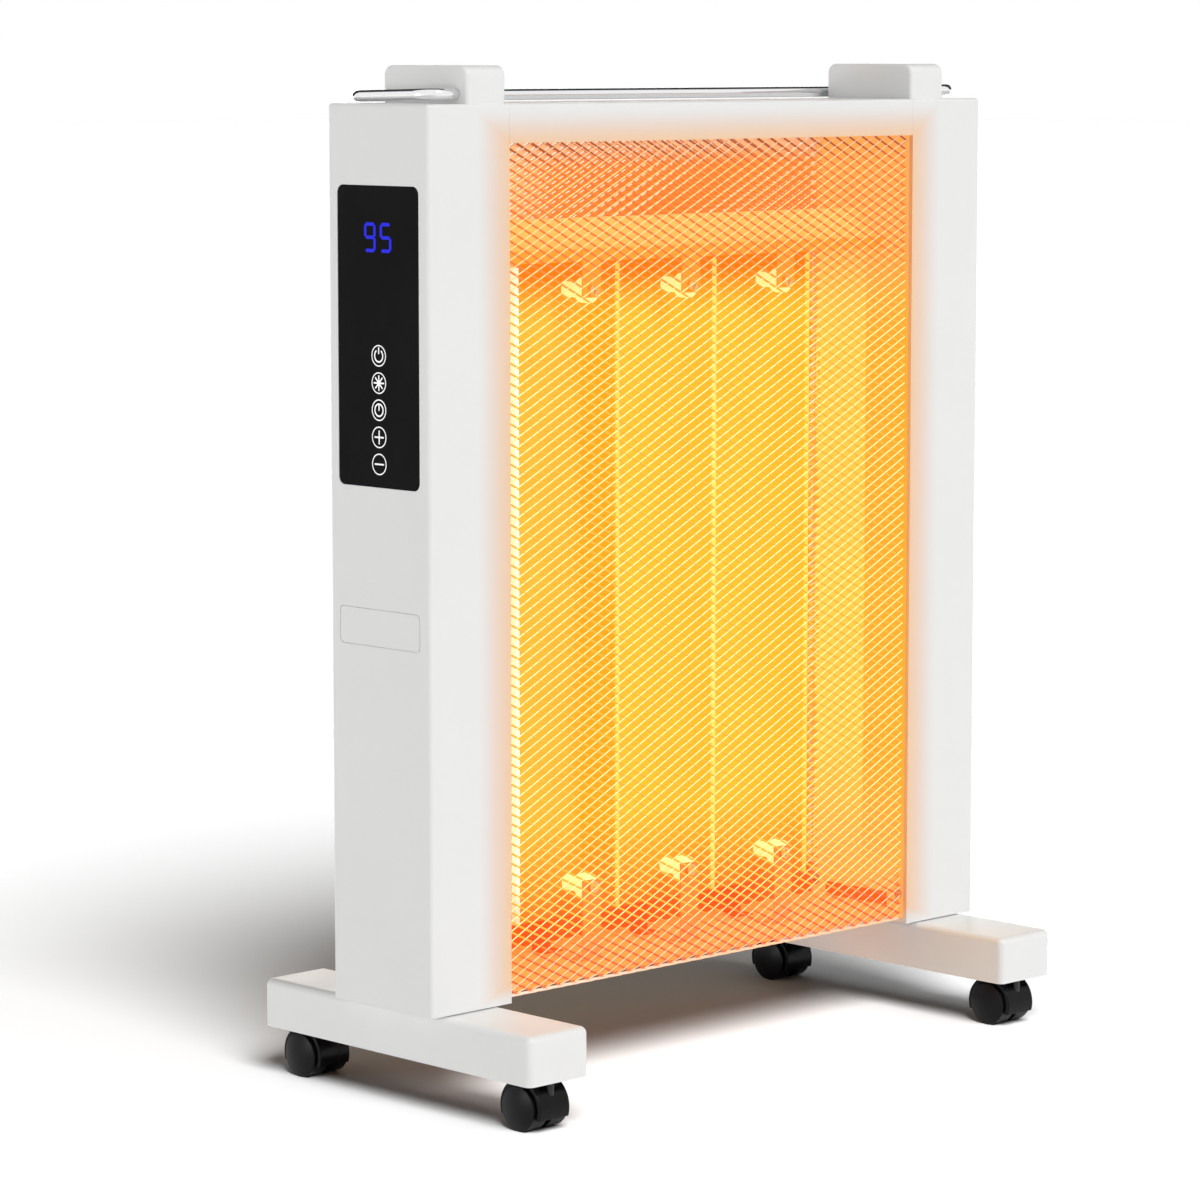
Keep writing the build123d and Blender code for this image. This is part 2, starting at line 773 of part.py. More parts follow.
def display_module():
    """Two-digit module behind the glass, with a window for each digit."""
    z = column_bottom + digits_height
    x0 = glass_back_x + behind_glass
    module = box_between(
        x0, touch_board_x, -display_width / 2, display_width / 2,
        z - display_height / 2, z + display_height / 2)
    for y in (-digit_pitch / 2, digit_pitch / 2):
        module -= box_between(
            glass_back_x, x0 + digit_window_depth, y - digit_window_width / 2, y + digit_window_width / 2,
            z - digit_window_height / 2, z + digit_window_height / 2)
    return module


def touch_board():
    z0 = column_bottom + glass_bottom + touch_board_inset
    z1 = column_bottom + glass_bottom + glass_height - touch_board_inset
    half = touch_board_width / 2
    x1 = touch_board_x + board_thickness
    board = box_between(touch_board_x, x1, -half, half, z0, z1)
    for y in (-half + board_hole_inset, half - board_hole_inset):
        for z in (z0 + board_hole_inset, z1 - board_hole_inset):
            board -= rod_x(touch_board_hole, touch_board_x - cut, x1 + cut, y, z)
    return board


def touch_key_pads():
    """Conductive pads that carry each key's field from the board to the glass."""
    return group([
        rod_x(key_pad_radius, glass_back_x + behind_glass, touch_board_x, 0.0, column_bottom + height)
        for height in key_heights])


def power_board():
    """Board on four posts that grow from the column's outer wall."""
    half = power_board_width / 2
    back = power_board_x + board_thickness
    wall = -half_width + column_wall
    board = box_between(power_board_x, back, -half, half, power_board_z0, power_board_z1)
    for y in (-half + board_hole_inset, half - board_hole_inset):
        for z in (power_board_z0 + board_hole_inset, power_board_z1 - board_hole_inset):
            board += rod_x(power_post_radius, wall, power_board_x, y, z)
            board -= rod_x(power_post_bore, wall + power_post_floor, back + cut, y, z)
    return board


def board_components():
    """Two relays, a capacitor, a transformer and the outgoing terminal block."""
    x = power_board_x + board_thickness
    pieces = [component(relay_size, y, z) for y, z in relay_places]
    pieces.append(rod_z(
        capacitor_radius, upper_row_z, upper_row_z + capacitor_height, x + capacitor_radius, capacitor_y))
    pieces.append(component(transformer_size, *transformer_place))
    terminals = component(terminal_size, *terminal_place)
    foot_z = terminal_place[1]
    for y in terminal_places():
        terminals -= rod_z(
            terminal_bore, foot_z - cut, foot_z + terminal_bore_depth, x + terminal_size[0] / 2, y)
    return group(pieces + [terminals])


def component(size, y, z):
    """A block on the power board, given by its size and by its low corner on the board."""
    x = power_board_x + board_thickness
    return box_between(x, x + size[0], y, y + size[1], z, z + size[2])


def terminal_places():
    """How far back each lead's terminal lies."""
    first = terminal_place[0] + terminal_first
    return [first, first + terminal_pitch]


def tip_over_switch():
    """Tilt switch housing screwed to the floor of the left column."""
    housing = box_between(*switch_x, *switch_y, column_floor, column_floor + switch_height)
    housing = fillet(housing.edges().filter_by(Axis.Z), edge_round)
    middle_y = sum(switch_y) / 2
    return housing + box_between(
        switch_x[0] - switch_foot, switch_x[1] + switch_foot,
        middle_y - switch_foot, middle_y + switch_foot,
        column_floor, column_floor + switch_foot_height)


def thermal_cutout():
    """Snap-action disc set in the inner plate, facing the heating panels."""
    plate_x = -inner_x - plate_step
    can = rod_x(cutout_radius, plate_x - 9 * sheet, plate_x + 1.2 * sheet, cutout_y, cutout_z)
    flange_x = plate_x - sheet
    can += rod_x(cutout_radius + cutout_flange, flange_x - 1.4 * sheet, flange_x, cutout_y, cutout_z)
    for y in (cutout_y - cutout_radius / 2, cutout_y + cutout_radius / 2):
        can += box_between(
            plate_x - 2 * cutout_radius, plate_x - cutout_radius, y - 0.4 * sheet, y + 0.4 * sheet,
            cutout_z - cutout_flange, cutout_z + cutout_flange)
    return can


def room_sensor():
    """Small thermistor bead on a holder, near the bottom of the left column."""
    x, y = sensor_place
    half = sensor_size / 2
    top = column_floor + sensor_height
    holder = box_between(x - half, x + half, y - half, y + half, column_floor, top)
    return holder + rod_z(half / 2, top - weld, top + 1.5 * half, x, y)


def wire_grommet():
    """Rubber ring in the inner plate, with a lip on each side of the sheet."""
    middle_x = -inner_x - plate_step - sheet / 2
    ring = rod_x(grommet_neck, middle_x - sheet / 2, middle_x + sheet / 2, harness_y, harness_z)
    for side in (-1, 1):
        face = middle_x + side * sheet / 2
        ring += rod_x(grommet_neck + grommet_lip, face, face + side * grommet_lip, harness_y, harness_z)
    reach = grommet_lip + sheet / 2 + cut
    bore = grommet_neck - grommet_wall
    return ring - rod_x(bore, middle_x - reach, middle_x + reach, harness_y, harness_z)


def element_wiring():
    """Two insulated leads from the power board through the grommet to the first panel."""
    leads = []
    terminal_x = power_board_x + board_thickness + terminal_size[0] / 2
    top_z = terminal_place[1] + terminal_bore_depth - cut
    tab_back, tab_front, tab_side = lead_eye_tab
    for i, y_start in enumerate(terminal_places()):
        y_hole = harness_y - wire_spacing / 2 + wire_spacing * i
        z_end = lead_eye_z + lead_eye_pitch * i
        sag_x, sag_y, sag_spacing, sag_drop = lead_sag
        points = [
            (terminal_x, y_start, top_z), (terminal_x, y_start, top_z - lead_drop),
            (lead_straight[0], y_hole, harness_z), (lead_straight[1], y_hole, harness_z),
            (sag_x, sag_y + sag_spacing * i, z_end - sag_drop), (lead_eye_x - tab_back, lead_end_y, z_end)]
        path = FilletPolyline(*points, radius=lead_bends)
        start = Plane(origin=points[0], z_dir=(0, 0, -1))
        lead = sweep(start * Circle(wire_radius), path=path)
        share = lead.volume / (pi * wire_radius ** 2 * path.length)
        print("lead", i, "volume over section times length", round(share, 4), "bends", lead_bends)
        eye_back = panel_back_y + lead_eye_depth
        eyelet = rod_y(lead_eye_radius, panel_back_y, eye_back, lead_eye_x, z_end)
        eyelet += box_between(
            lead_eye_x - tab_back, lead_eye_x + tab_front, panel_back_y, eye_back,
            z_end - tab_side, z_end + tab_side)
        leads += [lead, eyelet]
    return group(leads)


def cord_gland():
    """Inlet bush for the mains cord, low on the back of the left column."""
    x, z = -column_x, cord_gland_z
    wall = half_depth - column_wall
    back = half_depth + cord_gland_flange
    body = rod_y(cord_gland_body - running_gap, wall - cord_gland_nut - cut, half_depth + cut, x, z)
    flange = rod_y(cord_gland_body + cord_gland_lip, half_depth, back, x, z)
    flange = fillet(flange.edges().group_by(Axis.Y)[-1], insulator_round)
    nut_plane = Plane(origin=(x, wall - cord_gland_nut, z), x_dir=(1, 0, 0), z_dir=(0, 1, 0))
    nut = extrude(nut_plane * RegularPolygon(cord_gland_body + cord_gland_nut_lip, 6), cord_gland_nut)
    return body + flange + nut - rod_y(cord_gland_bore, wall - 2 * cord_gland_nut, back + cut, x, z)


# Casters, drawn at the origin with the stem towards -Y, then placed under the feet

def caster_hood():
    """Curved cover over both wheels, with a web in the middle that carries the axle and the stem."""
    rim = extrude(Plane.YZ * Circle(hood_radius), hood_half_width, both=True)
    rim = fillet(rim.edges(), hood_round)
    hollow = extrude(Plane.YZ * Circle(hood_inner_radius), hood_half_width + cut, both=True)
    web = extrude(Plane.YZ * Circle(hood_inner_radius + weld), web_half_width, both=True)
    hood = Pos(0, 0, wheel_radius) * (rim - hollow + web)
    reach = hood_radius + cut
    hood &= box_between(-reach, reach, -reach, reach, hood_foot_z, hood_top_z)
    hood -= rod_x(axle_radius + fixed_gap, -reach, reach, 0, wheel_radius)
    hood -= rod_z(stem_radius + fixed_gap, stem_step_z, hood_top_z + cut, 0, -caster_trail)
    return hood - rod_z(
        stem_pin_radius + fixed_gap, stem_pin_z - fixed_gap, stem_step_z + fixed_gap, 0, -caster_trail)


def caster_stem():
    """Swivel pin: fixed in the hood, turning in the foot's socket, with a collar and a head."""
    y = -caster_trail
    collar_drop, collar_gap = stem_collar
    stem = rod_z(stem_radius, stem_step_z, stem_top_z, 0, y)
    stem += rod_z(stem_pin_radius, stem_pin_z, stem_step_z + weld, 0, y)
    stem += rod_z(stem_collar_radius, ground_clearance - collar_drop, ground_clearance - collar_gap, 0, y)
    return stem + rod_z(stem_head_radius, stem_top_z - stem_head_height, stem_top_z, 0, y)


def caster_axle():
    return rod_x(axle_radius, -axle_half_length, axle_half_length, 0, wheel_radius)


def caster_wheel():
    """Wheel on the +X side: a plain tread and a domed outer face, with a blind bore."""
    bore = axle_radius + running_gap
    r = wheel_radius
    rim = r - wheel_edge
    dome = wheel_dome_x - wheel_rim_x
    dome_sphere = (rim ** 2 + dome ** 2) / (2 * dome)
    dome_middle_x = wheel_dome_x - dome_sphere + sqrt(dome_sphere ** 2 - (rim / 2) ** 2)
    bore_end = axle_half_length + axle_end_gap
    outline = Polyline(
        (wheel_dome_x, 0), (bore_end, 0), (bore_end, bore), (wheel_inner_x, bore), (wheel_inner_x, rim),
        (wheel_inner_x + wheel_edge, r), (wheel_rim_x - wheel_edge, r), (wheel_rim_x, rim))
    dome_arc = ThreePointArc((wheel_rim_x, rim), (dome_middle_x, rim / 2), (wheel_dome_x, 0))
    face = make_face(Plane.XZ * (outline + dome_arc))
    return Pos(0, 0, wheel_radius) * revolve(face, Axis.X, 360)


def casters():
    """Every caster piece by node name, with the trail pointing to the middle of the foot."""
    pieces = {
        "hood": caster_hood(),
        "stem": caster_stem(),
        "axle": caster_axle(),
        "wheel_right": caster_wheel(),
        "wheel_left": mirrored(caster_wheel()),
    }
    placed = {}
    for corner, (side_x, side_y) in corners.items():
        place = Pos(side_x * column_x, side_y * caster_y, 0)
        for name, piece in pieces.items():
            turned = piece if side_y < 0 else mirror(piece, about=Plane.XZ)
            placed[f"{corner}_caster_{name}"] = place * turned
    return placed


def all_nodes():
    grille = front_grille()
    nodes = {
        "left_column_shell": left_column_shell(),
        "right_column_shell": right_column_shell(),
        "left_inner_plate": left_inner_plate(),
        "right_inner_plate": mirrored(inner_plate()),
        "plate_screws": plate_screws(),
        "left_foot": left_foot(),
        "right_foot": mirrored(left_foot()),
        "foot_screws": foot_screws(),
        "top_beam": top_beam(),
        "left_rail_block": left_rail_block(),
        "right_rail_block": mirrored(left_rail_block()),
        "rail_pivot_bushes": rail_pivot_bushes(),
        "towel_rail": towel_rail(),
        "rail_clips": rail_clips(),
        "rail_rest_pads": rail_rest_pads(),
        "front_grille": grille,
        "back_grille": mirror(grille, about=Plane.XZ),
        "upper_cross_member": upper_cross_member(),
        "lower_hangers": lower_hangers(),
        "bottom_tray": bottom_tray(),
        "left_mica_panel": mica_panel(-panel_pitch),
        "centre_mica_panel": mica_panel(0.0),
        "right_mica_panel": mica_panel(panel_pitch),
        "panel_edge_channels": panel_edge_channels(),
        "ceramic_insulators": ceramic_insulators(),
        "insulator_studs": insulator_studs(),
        "touch_panel_glass": touch_panel_glass(),
        "display_module": display_module(),
        "touch_board": touch_board(),
        "touch_key_pads": touch_key_pads(),
        "power_board": power_board(),
        "board_components": board_components(),
        "badge_plate": badge_plate(),
        "tip_over_switch": tip_over_switch(),
        "thermal_cutout": thermal_cutout(),
        "room_sensor": room_sensor(),
        "wire_grommet": wire_grommet(),
        "element_wiring": element_wiring(),
        "cord_gland": cord_gland(),
    }
    nodes.update(casters())
    return nodes


os.makedirs("parts", exist_ok=True)
for node_name, node_shape in all_nodes().items():
    export_step(node_shape, f"parts/{node_name}.step")
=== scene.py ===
import math

import bpy
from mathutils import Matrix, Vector

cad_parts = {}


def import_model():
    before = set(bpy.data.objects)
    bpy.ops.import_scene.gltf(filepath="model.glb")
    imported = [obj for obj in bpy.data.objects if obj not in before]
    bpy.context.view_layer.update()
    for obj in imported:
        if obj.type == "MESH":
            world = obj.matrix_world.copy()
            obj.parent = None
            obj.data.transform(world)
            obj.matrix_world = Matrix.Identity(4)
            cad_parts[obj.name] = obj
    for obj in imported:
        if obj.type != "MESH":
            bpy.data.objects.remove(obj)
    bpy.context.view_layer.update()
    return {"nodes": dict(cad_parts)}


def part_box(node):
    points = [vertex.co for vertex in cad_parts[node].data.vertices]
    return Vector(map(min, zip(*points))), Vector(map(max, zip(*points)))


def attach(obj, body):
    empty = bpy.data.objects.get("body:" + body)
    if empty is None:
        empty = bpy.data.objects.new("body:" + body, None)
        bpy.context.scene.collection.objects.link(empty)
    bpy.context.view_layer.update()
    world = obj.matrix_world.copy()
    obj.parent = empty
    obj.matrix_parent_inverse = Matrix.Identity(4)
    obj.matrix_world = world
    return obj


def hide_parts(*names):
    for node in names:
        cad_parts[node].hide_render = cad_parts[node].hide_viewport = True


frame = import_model()
nodes = frame["nodes"]

MM = 0.001
BODY = "heater"

# Camera, from a fit to the edges of the photographed heater
CAMERA_PLACE = (-2.0533, -2.0521, 0.6558)
CAMERA_TURN = 45.868
CAMERA_DOWN = 7.023
CAMERA_LENS = 134.0
CAMERA_SENSOR = 36.0
CAMERA_NEAR = 0.05
CAMERA_FAR = 200.0

# Touch panel
GLASS_FACE_X = -0.2509
INK_HEIGHT = 0.05 * MM
DISPLAY_CENTRE = (0.3 * MM, 542.2 * MM)
DIGIT_WIDTH = 10.6 * MM
DIGIT_HEIGHT = 18.2 * MM
DIGIT_STROKE = 2.1 * MM
DIGIT_PITCH = 14.4 * MM
DIGIT_INSET = 0.62 * DIGIT_STROKE
KEY_HEIGHTS = [470.1 * MM, 453.4 * MM, 436.8 * MM, 420.1 * MM, 403.5 * MM]
KEY_RADIUS = 6.65 * MM
KEY_STROKE = 0.75 * MM
SIGN_STROKE = 1.35 * KEY_STROKE
SIGN_RADIUS = 0.56 * KEY_RADIUS

# Lights. A sun's travel is the way its light goes, and its spread is in degrees
WORLD_LIGHT = 0.33
KEY_TRAVEL = (-0.2, 1.1, -1.0)
KEY_SPREAD = 24
KEY_STRENGTH = 1.78
FLOOR_SUN_TRAVEL = (0.45, 0.9, -1.0)
FLOOR_SUN_SPREAD = 30
FLOOR_SUN_STRENGTH = 14.9
FILL_TARGET = (0.0, 0.0, 0.35)
LEFT_FILL_PLACE = (-3.4, 0.9, 0.6)
LEFT_FILL_SIZE = (1.6, 1.0)
LEFT_FILL_POWER = 25
BACK_FILL_PLACE = (2.4, 3.0, 0.9)
BACK_FILL_SIZE = (1.8, 1.2)
BACK_FILL_POWER = 26

# Floor, and the dark flag that outlines the chrome
FLOOR_SIZE = 60.0
FLOOR_BOUNCE = 0.195
FLOOR_SEEN = 0.26
FLAG_TOWARDS = (0.66, 0.68, 0.32)
FLAG_EDGE = (0.5, 0.62)
FLAG_TONE = (0.05, 0.05, 0.05)

# Share of its colour that a surface with painted glow reflects, and how strongly the painted glow of each
# kind shines
REFLECTED_SHARE = 0.72
SHEET_GLOW = 0.52
CHANNEL_GLOW = 0.62
MICA_GLOW = 0.46
CERAMIC_GLOW = 0.7
RISING_GLOW = 0.44
FALLING_GLOW = 0.42
INWARD_GLOW = 0.6
HEM_GLOW = 0.5

# The light end of each mottled tone
WHITE_TONE = (1.0, 1.0, 1.0)

# Fine mesh of the two grilles
MESH_HALF_WIDTH = 182.3 * MM
MESH_FRONT_Y = -42.5 * MM
MESH_TOP = 611.5 * MM
MESH_CURL_RADIUS = 7.5 * MM
MESH_CURL_Z = 73.0 * MM
MESH_LIP = 4.0 * MM
MESH_RETURN = 9.0 * MM
MESH_HALF_X = 6.25 * MM
MESH_HALF_Z = 3.125 * MM
MESH_CORNER_CUT = 2.0 * MM
STRAND_WIDTH = 1.2 * MM
STRAND_THICK = 0.6 * MM
STRAND_TILT = math.radians(52)
BACK_STRAND_WIDTH = 4.8 * MM
HEM_RADIUS = 0.9 * MM
HEM_SIDES = 8
HEM_ALONG_CURL = 0.55

# Finishes of the mesh, in the order of its material slots: painted light on the rising strands, painted
# shade on the falling ones
RISING_PAINTED_LIGHT = 0
FALLING_PAINTED_SHADE = 1
INNER_FINISH = 2
HEM_FINISH = 3

# Places that the painted glow and shade on the surfaces depend on
BOARD_PITCH = 89.0 * MM
BOARD_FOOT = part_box("centre_mica_panel")[0][2]
GLOW_TOP = 518.0 * MM
TRAY_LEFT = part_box("bottom_tray")[0][0]
TRAY_LIP = 74.5 * MM
BRACKET_BEND = 91.0 * MM
OPENING_SIDE = 184.0 * MM
OPENING_FOOT = 65.0 * MM
OPENING_TOP = 599.2 * MM
GLOW_REACH_SIDE = 27.0 * MM
GLOW_REACH_TOP = 20.0 * MM
GLOW_REACH_FOOT = 12.0 * MM

# Shares of the opening's height at which the painted glow of the strands changes
STRAND_FOOT_END = 0.045
STRAND_MIDDLE = (0.075, 0.80)
STRAND_TOP = (0.86, 0.965)
STRAND_HEAD_START = 0.99


# Small helpers for node materials

def new_material(name):
    material = bpy.data.materials.new(name)
    material.use_nodes = True
    tree = material.node_tree
    return material, tree, tree.nodes["Principled BSDF"]


def coordinates(tree, scale=(1.0, 1.0, 1.0)):
    """Object coordinates in metres, stretched by a scale for each axis."""
    place = tree.nodes.new("ShaderNodeTexCoord")
    mapping = tree.nodes.new("ShaderNodeMapping")
    mapping.inputs["Scale"].default_value = scale
    tree.links.new(place.outputs["Object"], mapping.inputs["Vector"])
    return mapping.outputs["Vector"]


def noise(tree, vector, scale, detail=3.0):
    node = tree.nodes.new("ShaderNodeTexNoise")
    node.inputs["Scale"].default_value = scale
    node.inputs["Detail"].default_value = detail
    tree.links.new(vector, node.inputs["Vector"])
    return node.outputs["Fac"]


def ramp(tree, value, stops):
    """A colour ramp, from a list of (position, colour)."""
    node = tree.nodes.new("ShaderNodeValToRGB")
    elements = node.color_ramp.elements
    while len(elements) < len(stops):
        elements.new(0.5)
    for element, (position, colour) in zip(elements, stops):
        element.position = position
        element.color = (*colour, 1.0)
    tree.links.new(value, node.inputs["Fac"])
    return node.outputs["Color"]


def spread(tree, value, low, high):
    """Maps a 0 to 1 value on to low to high."""
    node = tree.nodes.new("ShaderNodeMapRange")
    node.inputs["To Min"].default_value = low
    node.inputs["To Max"].default_value = high
    tree.links.new(value, node.inputs["Value"])
    return node.outputs["Result"]


def bump(tree, shader, height, distance):
    """Relief on a surface, from a height of 0 to 1 that stands for the distance."""
    node = tree.nodes.new("ShaderNodeBump")
    node.inputs["Strength"].default_value = 1.0
    node.inputs["Distance"].default_value = distance
    tree.links.new(height, node.inputs["Height"])
    tree.links.new(node.outputs["Normal"], shader.inputs["Normal"])


def shade(colour, factor):
    """A colour made darker or lighter by a factor."""
    return tuple(min(1.0, channel * factor) for channel in colour)


def seen(red, green, blue):
    """A colour as it looks on a screen, 0 to 255, as the linear colour that a shader takes."""
    def linear(channel):
        share = channel / 255
        return share / 12.92 if share <= 0.04045 else ((share + 0.055) / 1.055) ** 2.4
    return linear(red), linear(green), linear(blue)


def along(tree, axis, low, high, from_middle=False):
    """How far a point lies from low to high along an axis of the heater, from 0 to 1."""
    place = tree.nodes.new("ShaderNodeTexCoord")
    split = tree.nodes.new("ShaderNodeSeparateXYZ")
    tree.links.new(place.outputs["Object"], split.inputs["Vector"])
    value = split.outputs[axis]
    if from_middle:
        distance = tree.nodes.new("ShaderNodeMath")
        distance.operation = "ABSOLUTE"
        tree.links.new(value, distance.inputs[0])
        value = distance.outputs["Value"]
    share = tree.nodes.new("ShaderNodeMapRange")
    share.inputs["From Min"].default_value = low
    share.inputs["From Max"].default_value = high
    tree.links.new(value, share.inputs["Value"])
    return share.outputs["Result"]


def mixed(tree, factor, first, second):
    """A colour between two colour outputs or plain colours."""
    node = tree.nodes.new("ShaderNodeMix")
    node.data_type = "RGBA"
    tree.links.new(factor, node.inputs["Factor"])
    for name, colour in (("A", first), ("B", second)):
        socket = next(s for s in node.inputs if s.name == name and s.type == "RGBA")
        if isinstance(colour, tuple):
            socket.default_value = (*colour, 1.0)
        else:
            tree.links.new(colour, socket)
    return next(s for s in node.outputs if s.type == "RGBA")


def multiplied(tree, first, second):
    """Two colours multiplied together."""
    node = tree.nodes.new("ShaderNodeVectorMath")
    node.operation = "MULTIPLY"
    tree.links.new(first, node.inputs[0])
    tree.links.new(second, node.inputs[1])
    return node.outputs["Vector"]


def biggest(tree, first, second):
    node = tree.nodes.new("ShaderNodeMath")
    node.operation = "MAXIMUM"
    tree.links.new(first, node.inputs[0])
    tree.links.new(second, node.inputs[1])
    return node.outputs["Value"]


def painted_glow_with(tree, shader, colour, strength):
    """Gives a surface its orange colour as painted glow: part of it reflects, and part of it is emission
    that stands in for the boards' light.
    """
    reflected = tree.nodes.new("ShaderNodeVectorMath")
    reflected.operation = "SCALE"
    reflected.inputs["Scale"].default_value = REFLECTED_SHARE
    tree.links.new(colour, reflected.inputs[0])
    tree.links.new(reflected.outputs["Vector"], shader.inputs["Base Color"])
    # Painted glow: the colour is also given off as emission, though the surface is no lamp.
    tree.links.new(colour, shader.inputs["Emission Color"])
    shader.inputs["Emission Strength"].default_value = strength


def plastic(name, colour, roughness=0.4, grain=2600.0, depth=0.02, tone=0.03, specular=0.5):
    """Moulded plastic: a fine grain, faint cloudiness in tone and in gloss."""
    material, tree, shader = new_material(name)
    vector = coordinates(tree)
    clouds = noise(tree, vector, 14.0, 4.0)
    colours = [(0.3, shade(colour, 1 - tone)), (0.7, shade(colour, 1 + tone / 2))]
    tree.links.new(ramp(tree, clouds, colours), shader.inputs["Base Color"])
    tree.links.new(spread(tree, noise(tree, vector, 60.0), roughness - 0.05, roughness + 0.06),
                   shader.inputs["Roughness"])
    shader.inputs["Specular IOR Level"].default_value = specular
    bump(tree, shader, noise(tree, vector, grain, 2.0), depth * MM)
    return material


def plastic_with_painted_glow(name, colour):
    """White plastic of the casing, with a painted peach glow that grows towards the edges of the heater's
    opening.
    """
    material, tree, shader = new_material(name)
    vector = coordinates(tree)
    past_side = along(tree, "X", OPENING_SIDE, OPENING_SIDE + GLOW_REACH_SIDE, from_middle=True)
    past_top = along(tree, "Z", OPENING_TOP, OPENING_TOP + GLOW_REACH_TOP)
    past_foot = along(tree, "Z", OPENING_FOOT + GLOW_REACH_FOOT, OPENING_FOOT)
    past = biggest(tree, biggest(tree, past_side, past_top), past_foot)
    # Painted glow: the white plastic turns peach near the opening's edges, standing in for the heater's
    # light on it.
    warm = ramp(tree, past, [
        (0.0, seen(246, 207, 168)), (0.27, seen(242, 213, 189)), (0.5, seen(239, 221, 208)),
        (0.75, seen(238, 231, 226)), (1.0, colour)])
    clouds = ramp(tree, noise(tree, vector, 14.0, 4.0), [(0.3, (0.985, 0.985, 0.985)), (0.7, WHITE_TONE)])
    tree.links.new(multiplied(tree, warm, clouds), shader.inputs["Base Color"])
    tree.links.new(spread(tree, noise(tree, vector, 60.0), 0.37, 0.48), shader.inputs["Roughness"])
    bump(tree, shader, noise(tree, vector, 2600.0, 2.0), 0.02 * MM)
    return material


def painted_sheet(name, colour, glow_strength=SHEET_GLOW, roughness=0.5):
    """Powder-coated sheet with orange peel, with painted glow that stands in for the light of the heating
    boards beside it.

    colour is a function that takes the node tree and gives the colour output of the painted glow.
    """
    material, tree, shader = new_material(name)
    vector = coordinates(tree)
    clouds = ramp(tree, noise(tree, vector, 9.0), [(0.3, (0.94, 0.92, 0.90)), (0.7, WHITE_TONE)])
    painted_glow_with(tree, shader, multiplied(tree, colour(tree), clouds), glow_strength)
    tree.links.new(spread(tree, noise(tree, vector, 150.0), roughness - 0.08, roughness + 0.08),
                   shader.inputs["Roughness"])
    shader.inputs["Specular IOR Level"].default_value = 0.3
    bump(tree, shader, noise(tree, vector, 900.0, 2.0), 0.03 * MM)
    return material


def cross_member_glow_and_shade(tree):
    """Painted glow: lighter on the folds above, where more light falls, and painted shade in a deeper
    orange on the flange and the straps below, with the glow fading to a pale left end.
    """
    height = along(tree, "Z", GLOW_TOP - 18 * MM, GLOW_TOP + 32 * MM)
    bands = ramp(tree, height, [
        (0.0, seen(250, 170, 50)), (0.3, seen(248, 156, 48)), (0.46, seen(250, 162, 54)),
        (0.61, seen(250, 162, 54)), (0.63, seen(252, 188, 92)), (1.0, seen(252, 198, 106))])
    end = along(tree, "X", TRAY_LEFT + 20 * MM, TRAY_LEFT)
    return mixed(tree, end, bands, seen(235, 215, 190))


def tray_painted_glow(tree):
    """Painted glow: salmon on the floor of the tray, red-orange on the upstand behind it, fading to pale at
    the left end.
    """
    upstand = along(tree, "Z", TRAY_LIP, TRAY_LIP + 0.5 * MM)
    bands = mixed(tree, upstand, seen(252, 170, 86), seen(255, 112, 40))
    end = along(tree, "X", TRAY_LEFT + 12 * MM, TRAY_LEFT)
    return mixed(tree, end, bands, seen(230, 205, 180))


def bracket_painted_glow(tree):
    """Painted glow: salmon at the foot and orange above in front, and a deeper red-orange behind the
    boards.
    """
    above_bend = along(tree, "Z", BRACKET_BEND - 3 * MM, BRACKET_BEND)
    front = mixed(tree, above_bend, seen(255, 150, 74), seen(255, 140, 60))
    return mixed(tree, along(tree, "Y", -MM, MM), front, seen(255, 100, 34))


def inner_plate_painted_glow(tree):
    """Painted glow: the rear half of the plate is lighter than its front half, and both deepen at top and
    foot.
    """
    rear = along(tree, "Y", -6.0 * MM, -3.0 * MM)
    halves = mixed(tree, rear, seen(252, 188, 64), seen(254, 224, 98))
    high = along(tree, "Z", GLOW_TOP - 60 * MM, GLOW_TOP + 20 * MM)
    low = along(tree, "Z", BOARD_FOOT + 80 * MM, BOARD_FOOT)
    return mixed(tree, biggest(tree, high, low), halves, seen(252, 190, 104))


def hem_painted_glow(tree):
    """Painted glow: pale at the left, and peach towards the right."""
    return mixed(tree, along(tree, "X", TRAY_LEFT, 0.0), seen(250, 228, 212), seen(250, 206, 168))


def channel_painted_glow(tree):
    """Painted glow: nearly white on the channel at the left end, and yellow-orange on the three others,
    deeper near the foot.
    """
    across = along(tree, "X", -1.5 * BOARD_PITCH, 1.5 * BOARD_PITCH)
    body = ramp(tree, across, [
        (0.0, seen(254, 252, 234)), (0.1, seen(254, 252, 234)), (0.3, seen(254, 214, 90)),
        (0.66, seen(254, 224, 104)), (1.0, seen(254, 214, 80))])
    low = along(tree, "Z", BOARD_FOOT + 28 * MM, BOARD_FOOT - 20 * MM)
    return mixed(tree, low, body, seen(255, 176, 84))


def metal(name, colour, roughness, grain=(1.0, 1.0, 1.0), grain_scale=800.0, depth=0.004):
    """Bare or plated metal with fine drawn lines and a faintly uneven gloss.

    grain stretches the lines: it is small along the axis that they run along.
    """
    material, tree, shader = new_material(name)
    vector = coordinates(tree, grain)
    lines = noise(tree, vector, grain_scale, 3.0)
    tone = ramp(tree, lines, [(0.25, shade(colour, 0.93)), (0.75, colour)])
    tree.links.new(tone, shader.inputs["Base Color"])
    tree.links.new(spread(tree, lines, roughness * 0.75, roughness * 1.3), shader.inputs["Roughness"])
    shader.inputs["Metallic"].default_value = 1.0
    bump(tree, shader, lines, depth * MM)
    return material


